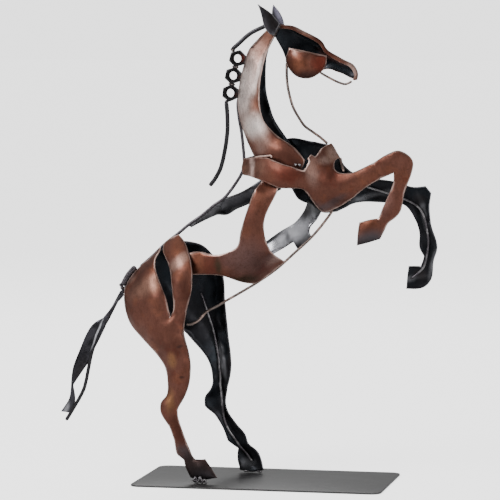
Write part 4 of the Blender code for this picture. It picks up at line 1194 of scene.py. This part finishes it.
class HORSE_OT_rods(bpy.types.Operator):
    """Make the rods and wires, and the ribbed bar at the root of the tail"""
    bl_idname = "horse.rods"
    bl_label = "Rods"

    def execute(self, context):
        settings = context.scene.horse_rod
        for node, (slot, finish, seed) in RODS.items():
            make_rod(node, slot, finish, settings.spacing, 0.0, seed)
        make_rod(RIBBED_BAR, "black_rod", "rod_grey_steel", settings.fine_spacing, settings.rib_depth,
                 BAR_SEED)
        return {"FINISHED"}


class HORSE_OT_nuts(bpy.types.Operator):
    """Make the three nuts of the mane"""
    bl_idname = "horse.nuts"
    bl_label = "Nuts"

    def execute(self, context):
        places = [nut_place(node) for node in NUTS]
        row = bpy.data.meshes.new("nut_row")
        row.from_pydata([tuple(center) for center, _ in places], [], [])
        row.attributes.new("turn", "FLOAT", "POINT").data.foreach_set("value", [turn for _, turn in places])
        nut = placed("nut_shape", nut_mesh(context.scene.horse_nut))
        mesh = grown("mane_nuts", row, shared_tree("nuts_in_a_row", nut_tree), {
            "Nut": nut, "Material": look("nut_black")})
        bpy.data.meshes.remove(nut.data)
        show("mane_nuts", mesh, "nut_steel", *NUTS)
        return {"FINISHED"}


class HORSE_OT_welds(bpy.types.Operator):
    """Make the weld beads under the hooves and at the neck, and the tacks of the nuts and rods"""
    bl_idname = "horse.welds"
    bl_label = "Welds"

    def execute(self, context):
        settings = context.scene.horse_weld
        for seed, node in enumerate(BEADS):
            finish = "weld_metal" if node.startswith("neck") else "weld_slag"
            self.lay(node + "_bead", [self.bead(node)], finish, seed, node)
        tacks = self.mane_tacks(context.scene.horse_nut.flats / 2, settings.tack)
        joints = [(drawn_line(line), settings.joint * share) for share, line in JOINT_WELDS]
        squiggle = [(drawn_line(HOOF_WELD), settings.squiggle)]
        along = [self.rod_tack(*place, settings.rod_tack) for place in ROD_TACKS]
        for name, runs, finish in (
                ("mane_tacks", tacks, "weld_dark"), ("joint_welds", joints, "weld_dark"),
                ("hoof_squiggle", squiggle, "weld_slag"), ("rod_tacks", along, "weld_dark")):
            self.lay(name, runs, finish, WELD_SEEDS[name])
        return {"FINISHED"}

    def bead(self, node):
        """A swaying line through a bead's solid, with its half width."""
        low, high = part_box(node)
        half = (high.z - low.z) / 2
        reach = max(high.x - low.x - half * 2, 0) / 2
        line = [(low + high) / 2 + Vector((share * reach, sway * half * BEAD_SWAY, -sway * half * BEAD_DIP))
                for share, sway in BEAD_PATH]
        return line, half * BEAD_WIDTH

    def mane_tacks(self, gap, tack):
        """Tacks between the nuts, on the crest side of each nut, and at the ends of the mane's two rods."""
        centers = [Vector(nut_place(node)[0]) for node in NUTS]
        down = (centers[-1] - centers[0]).normalized()
        across = Vector((-down.z, 0, down.x))
        outward = Vector((0, tack, 0))
        runs = []
        for one, two in zip(centers, centers[1:]):
            for side in (-1, 1):
                middle = (one + two) / 2 + Vector((0, side * gap * TACK_OFF, 0))
                runs.append(([middle - across * tack, middle + across * tack], tack * BETWEEN_TACK))
        for center in centers:
            spot = center + across * gap
            runs.append(([spot - outward, spot + outward], tack * CREST_TACK))
        upper, radius = path_of("mane_rod_upper")
        lower, _ = path_of("mane_rod_lower")
        for line, center in ((upper, centers[0]), (lower, centers[-1])):
            end = min((line[0], line[-1]), key=lambda point: (point - center).length)
            runs.append(([end, end.lerp(center, END_TACK_REACH)], radius * END_TACK))
        return runs

    def rod_tack(self, node, x, z, half):
        """A short bead along a rod, seen from the side at x and z."""
        centers, _ = path_of(node)
        away = [math.hypot(point.x - x * MM, point.z - z * MM) for point in centers]
        place = away.index(min(away))
        spot = centers[place]
        way = (centers[min(place + 1, len(centers) - 1)] - centers[max(place - 1, 0)]).normalized()
        return [spot - way * half, spot + way * half], half

    def lay(self, name, runs, finish, seed, *nodes):
        settings = bpy.context.scene.horse_weld
        mesh = grown(name, path_mesh(name, runs), shared_tree("bead_along_path", bead_tree), {
            "Ripple": settings.ripple, "Flatness": settings.flat, "Lump": settings.lump, "Seed": seed,
            "Material": look(finish)})
        show(name, mesh, "weld_steel", *nodes)


class HORSE_OT_plate(bpy.types.Operator):
    """Make the base plate with its edges eased"""
    bl_idname = "horse.plate"
    bl_label = "Base plate"

    def execute(self, context):
        solid = solid_of(PLATE)
        bmesh.ops.dissolve_limit(solid, angle_limit=PLATE_FLAT, verts=solid.verts, edges=solid.edges)
        sharp = [edge for edge in solid.edges if edge.calc_face_angle() > PLATE_EDGE]
        bmesh.ops.bevel(solid, geom=sharp, offset=context.scene.horse_plate.bevel, segments=BEVEL_PARTS,
                        profile=0.5, affect="EDGES")
        mesh = bpy.data.meshes.new("base_plate_eased")
        solid.to_mesh(mesh)
        solid.free()
        mesh.shade_smooth()
        mesh.set_sharp_from_angle(angle=PLATE_SMOOTH)
        mesh.materials.append(look("plate_coat"))
        show("base_plate_eased", mesh, "plate", PLATE)
        return {"FINISHED"}


def camera_only(tree, plain, seen, output):
    """Let the camera see one shader in place of the one that lights the object."""
    looks_at = add(tree, "ShaderNodeLightPath").outputs["Is Camera Ray"]
    mixed = made(tree, "ShaderNodeMixShader", {0: looks_at, 1: plain, 2: seen})
    tree.links.new(mixed, tree.nodes[output].inputs["Surface"])


class HORSE_OT_stage(bpy.types.Operator):
    """Make the camera, the pale floor and surround, and the soft lights"""
    bl_idname = "horse.stage"
    bl_label = "Studio"

    def execute(self, context):
        settings = context.scene.horse_stage
        self.camera(context.scene, settings)
        self.floor(settings)
        self.surround(context.scene, settings)
        self.lights(settings)
        return {"FINISHED"}

    def camera(self, scene, settings):
        side = math.cos(settings.elevation)
        back = Vector((math.sin(settings.azimuth) * side, -math.cos(settings.azimuth) * side,
                       math.sin(settings.elevation)))
        camera = placed("camera", bpy.data.cameras.new("camera"))
        camera.data.lens = settings.lens
        camera.data.sensor_width = SENSOR
        camera.location = Vector(settings.target) + back * settings.distance
        camera.rotation_euler = back.to_track_quat("Z", "Y").to_euler()
        scene.camera = camera

    def floor(self, settings):
        mesh = bpy.data.meshes.new("floor")
        corners = [(x * FLOOR_REACH, y * FLOOR_REACH, FLOOR_HEIGHT) for x, y in SQUARE]
        mesh.from_pydata(corners, [], [(0, 1, 2, 3)])
        floor = placed("floor", mesh)
        material = bpy.data.materials.new("floor")
        material.use_nodes = True
        tree = material.node_tree
        shader = tree.nodes["Principled BSDF"]
        shader.inputs["Base Color"].default_value = (*settings.floor, 1)
        shader.inputs["Roughness"].default_value = FLOOR_ROUGH
        glow = made(tree, "ShaderNodeEmission", {"Color": WHITE, "Strength": settings.backdrop * FLOOR_GLOW})
        both = made(tree, "ShaderNodeAddShader", {0: shader.outputs[0], 1: glow})
        camera_only(tree, shader.outputs[0], both, "Material Output")
        mesh.materials.append(material)

    def surround(self, scene, settings):
        world = bpy.data.worlds.new("studio")
        scene.world = world
        world.use_nodes = True
        tree = world.node_tree
        light = tree.nodes["Background"]
        light.inputs["Color"].default_value = WHITE
        light.inputs["Strength"].default_value = settings.surround
        seen = made(tree, "ShaderNodeBackground", {"Color": WHITE, "Strength": settings.backdrop})
        camera_only(tree, light.outputs[0], seen, "World Output")

    def lights(self, settings):
        for name, (place, size) in LAMPS.items():
            light = bpy.data.lights.new(name, "AREA")
            light.size = size
            light.energy = getattr(settings, name)
            lamp = placed(name, light)
            lamp.location = place
            lamp.rotation_euler = (Vector(place) - Vector(settings.target)).to_track_quat("Z", "Y").to_euler()


SETTINGS = {
    "horse_sheet": SheetSettings, "horse_rod": RodSettings, "horse_nut": NutSettings,
    "horse_weld": WeldSettings, "horse_plate": PlateSettings, "horse_finish": FinishSettings,
    "horse_stage": StageSettings,
}
OPERATORS = [HORSE_OT_sheets, HORSE_OT_leaves, HORSE_OT_rods, HORSE_OT_nuts, HORSE_OT_welds, HORSE_OT_plate,
             HORSE_OT_stage]


class HORSE_PT_panel(bpy.types.Panel):
    """The steps that make the horse, and the sizes they use"""
    bl_idname = "HORSE_PT_panel"
    bl_label = "Rearing horse"
    bl_space_type = "VIEW_3D"
    bl_region_type = "UI"
    bl_category = "Horse"

    def draw(self, context):
        for step in OPERATORS:
            self.layout.operator(step.bl_idname)
        for name, kind in SETTINGS.items():
            box = self.layout.box()
            box.label(text=kind.__name__.replace("Settings", ""))
            for value in kind.__annotations__:
                box.prop(getattr(context.scene, name), value)


CLASSES = [*SETTINGS.values(), *OPERATORS, HORSE_PT_panel]


def register():
    for kind in CLASSES:
        bpy.utils.register_class(kind)
    for name, kind in SETTINGS.items():
        setattr(bpy.types.Scene, name, bpy.props.PointerProperty(type=kind))


def unregister():
    for name in SETTINGS:
        delattr(bpy.types.Scene, name)
    for kind in reversed(CLASSES):
        bpy.utils.unregister_class(kind)


def main():
    register()
    bpy.ops.horse.sheets()
    bpy.ops.horse.leaves()
    bpy.ops.horse.rods()
    bpy.ops.horse.nuts()
    bpy.ops.horse.welds()
    bpy.ops.horse.plate()
    bpy.ops.horse.stage()


if __name__ == "__main__":
    main()
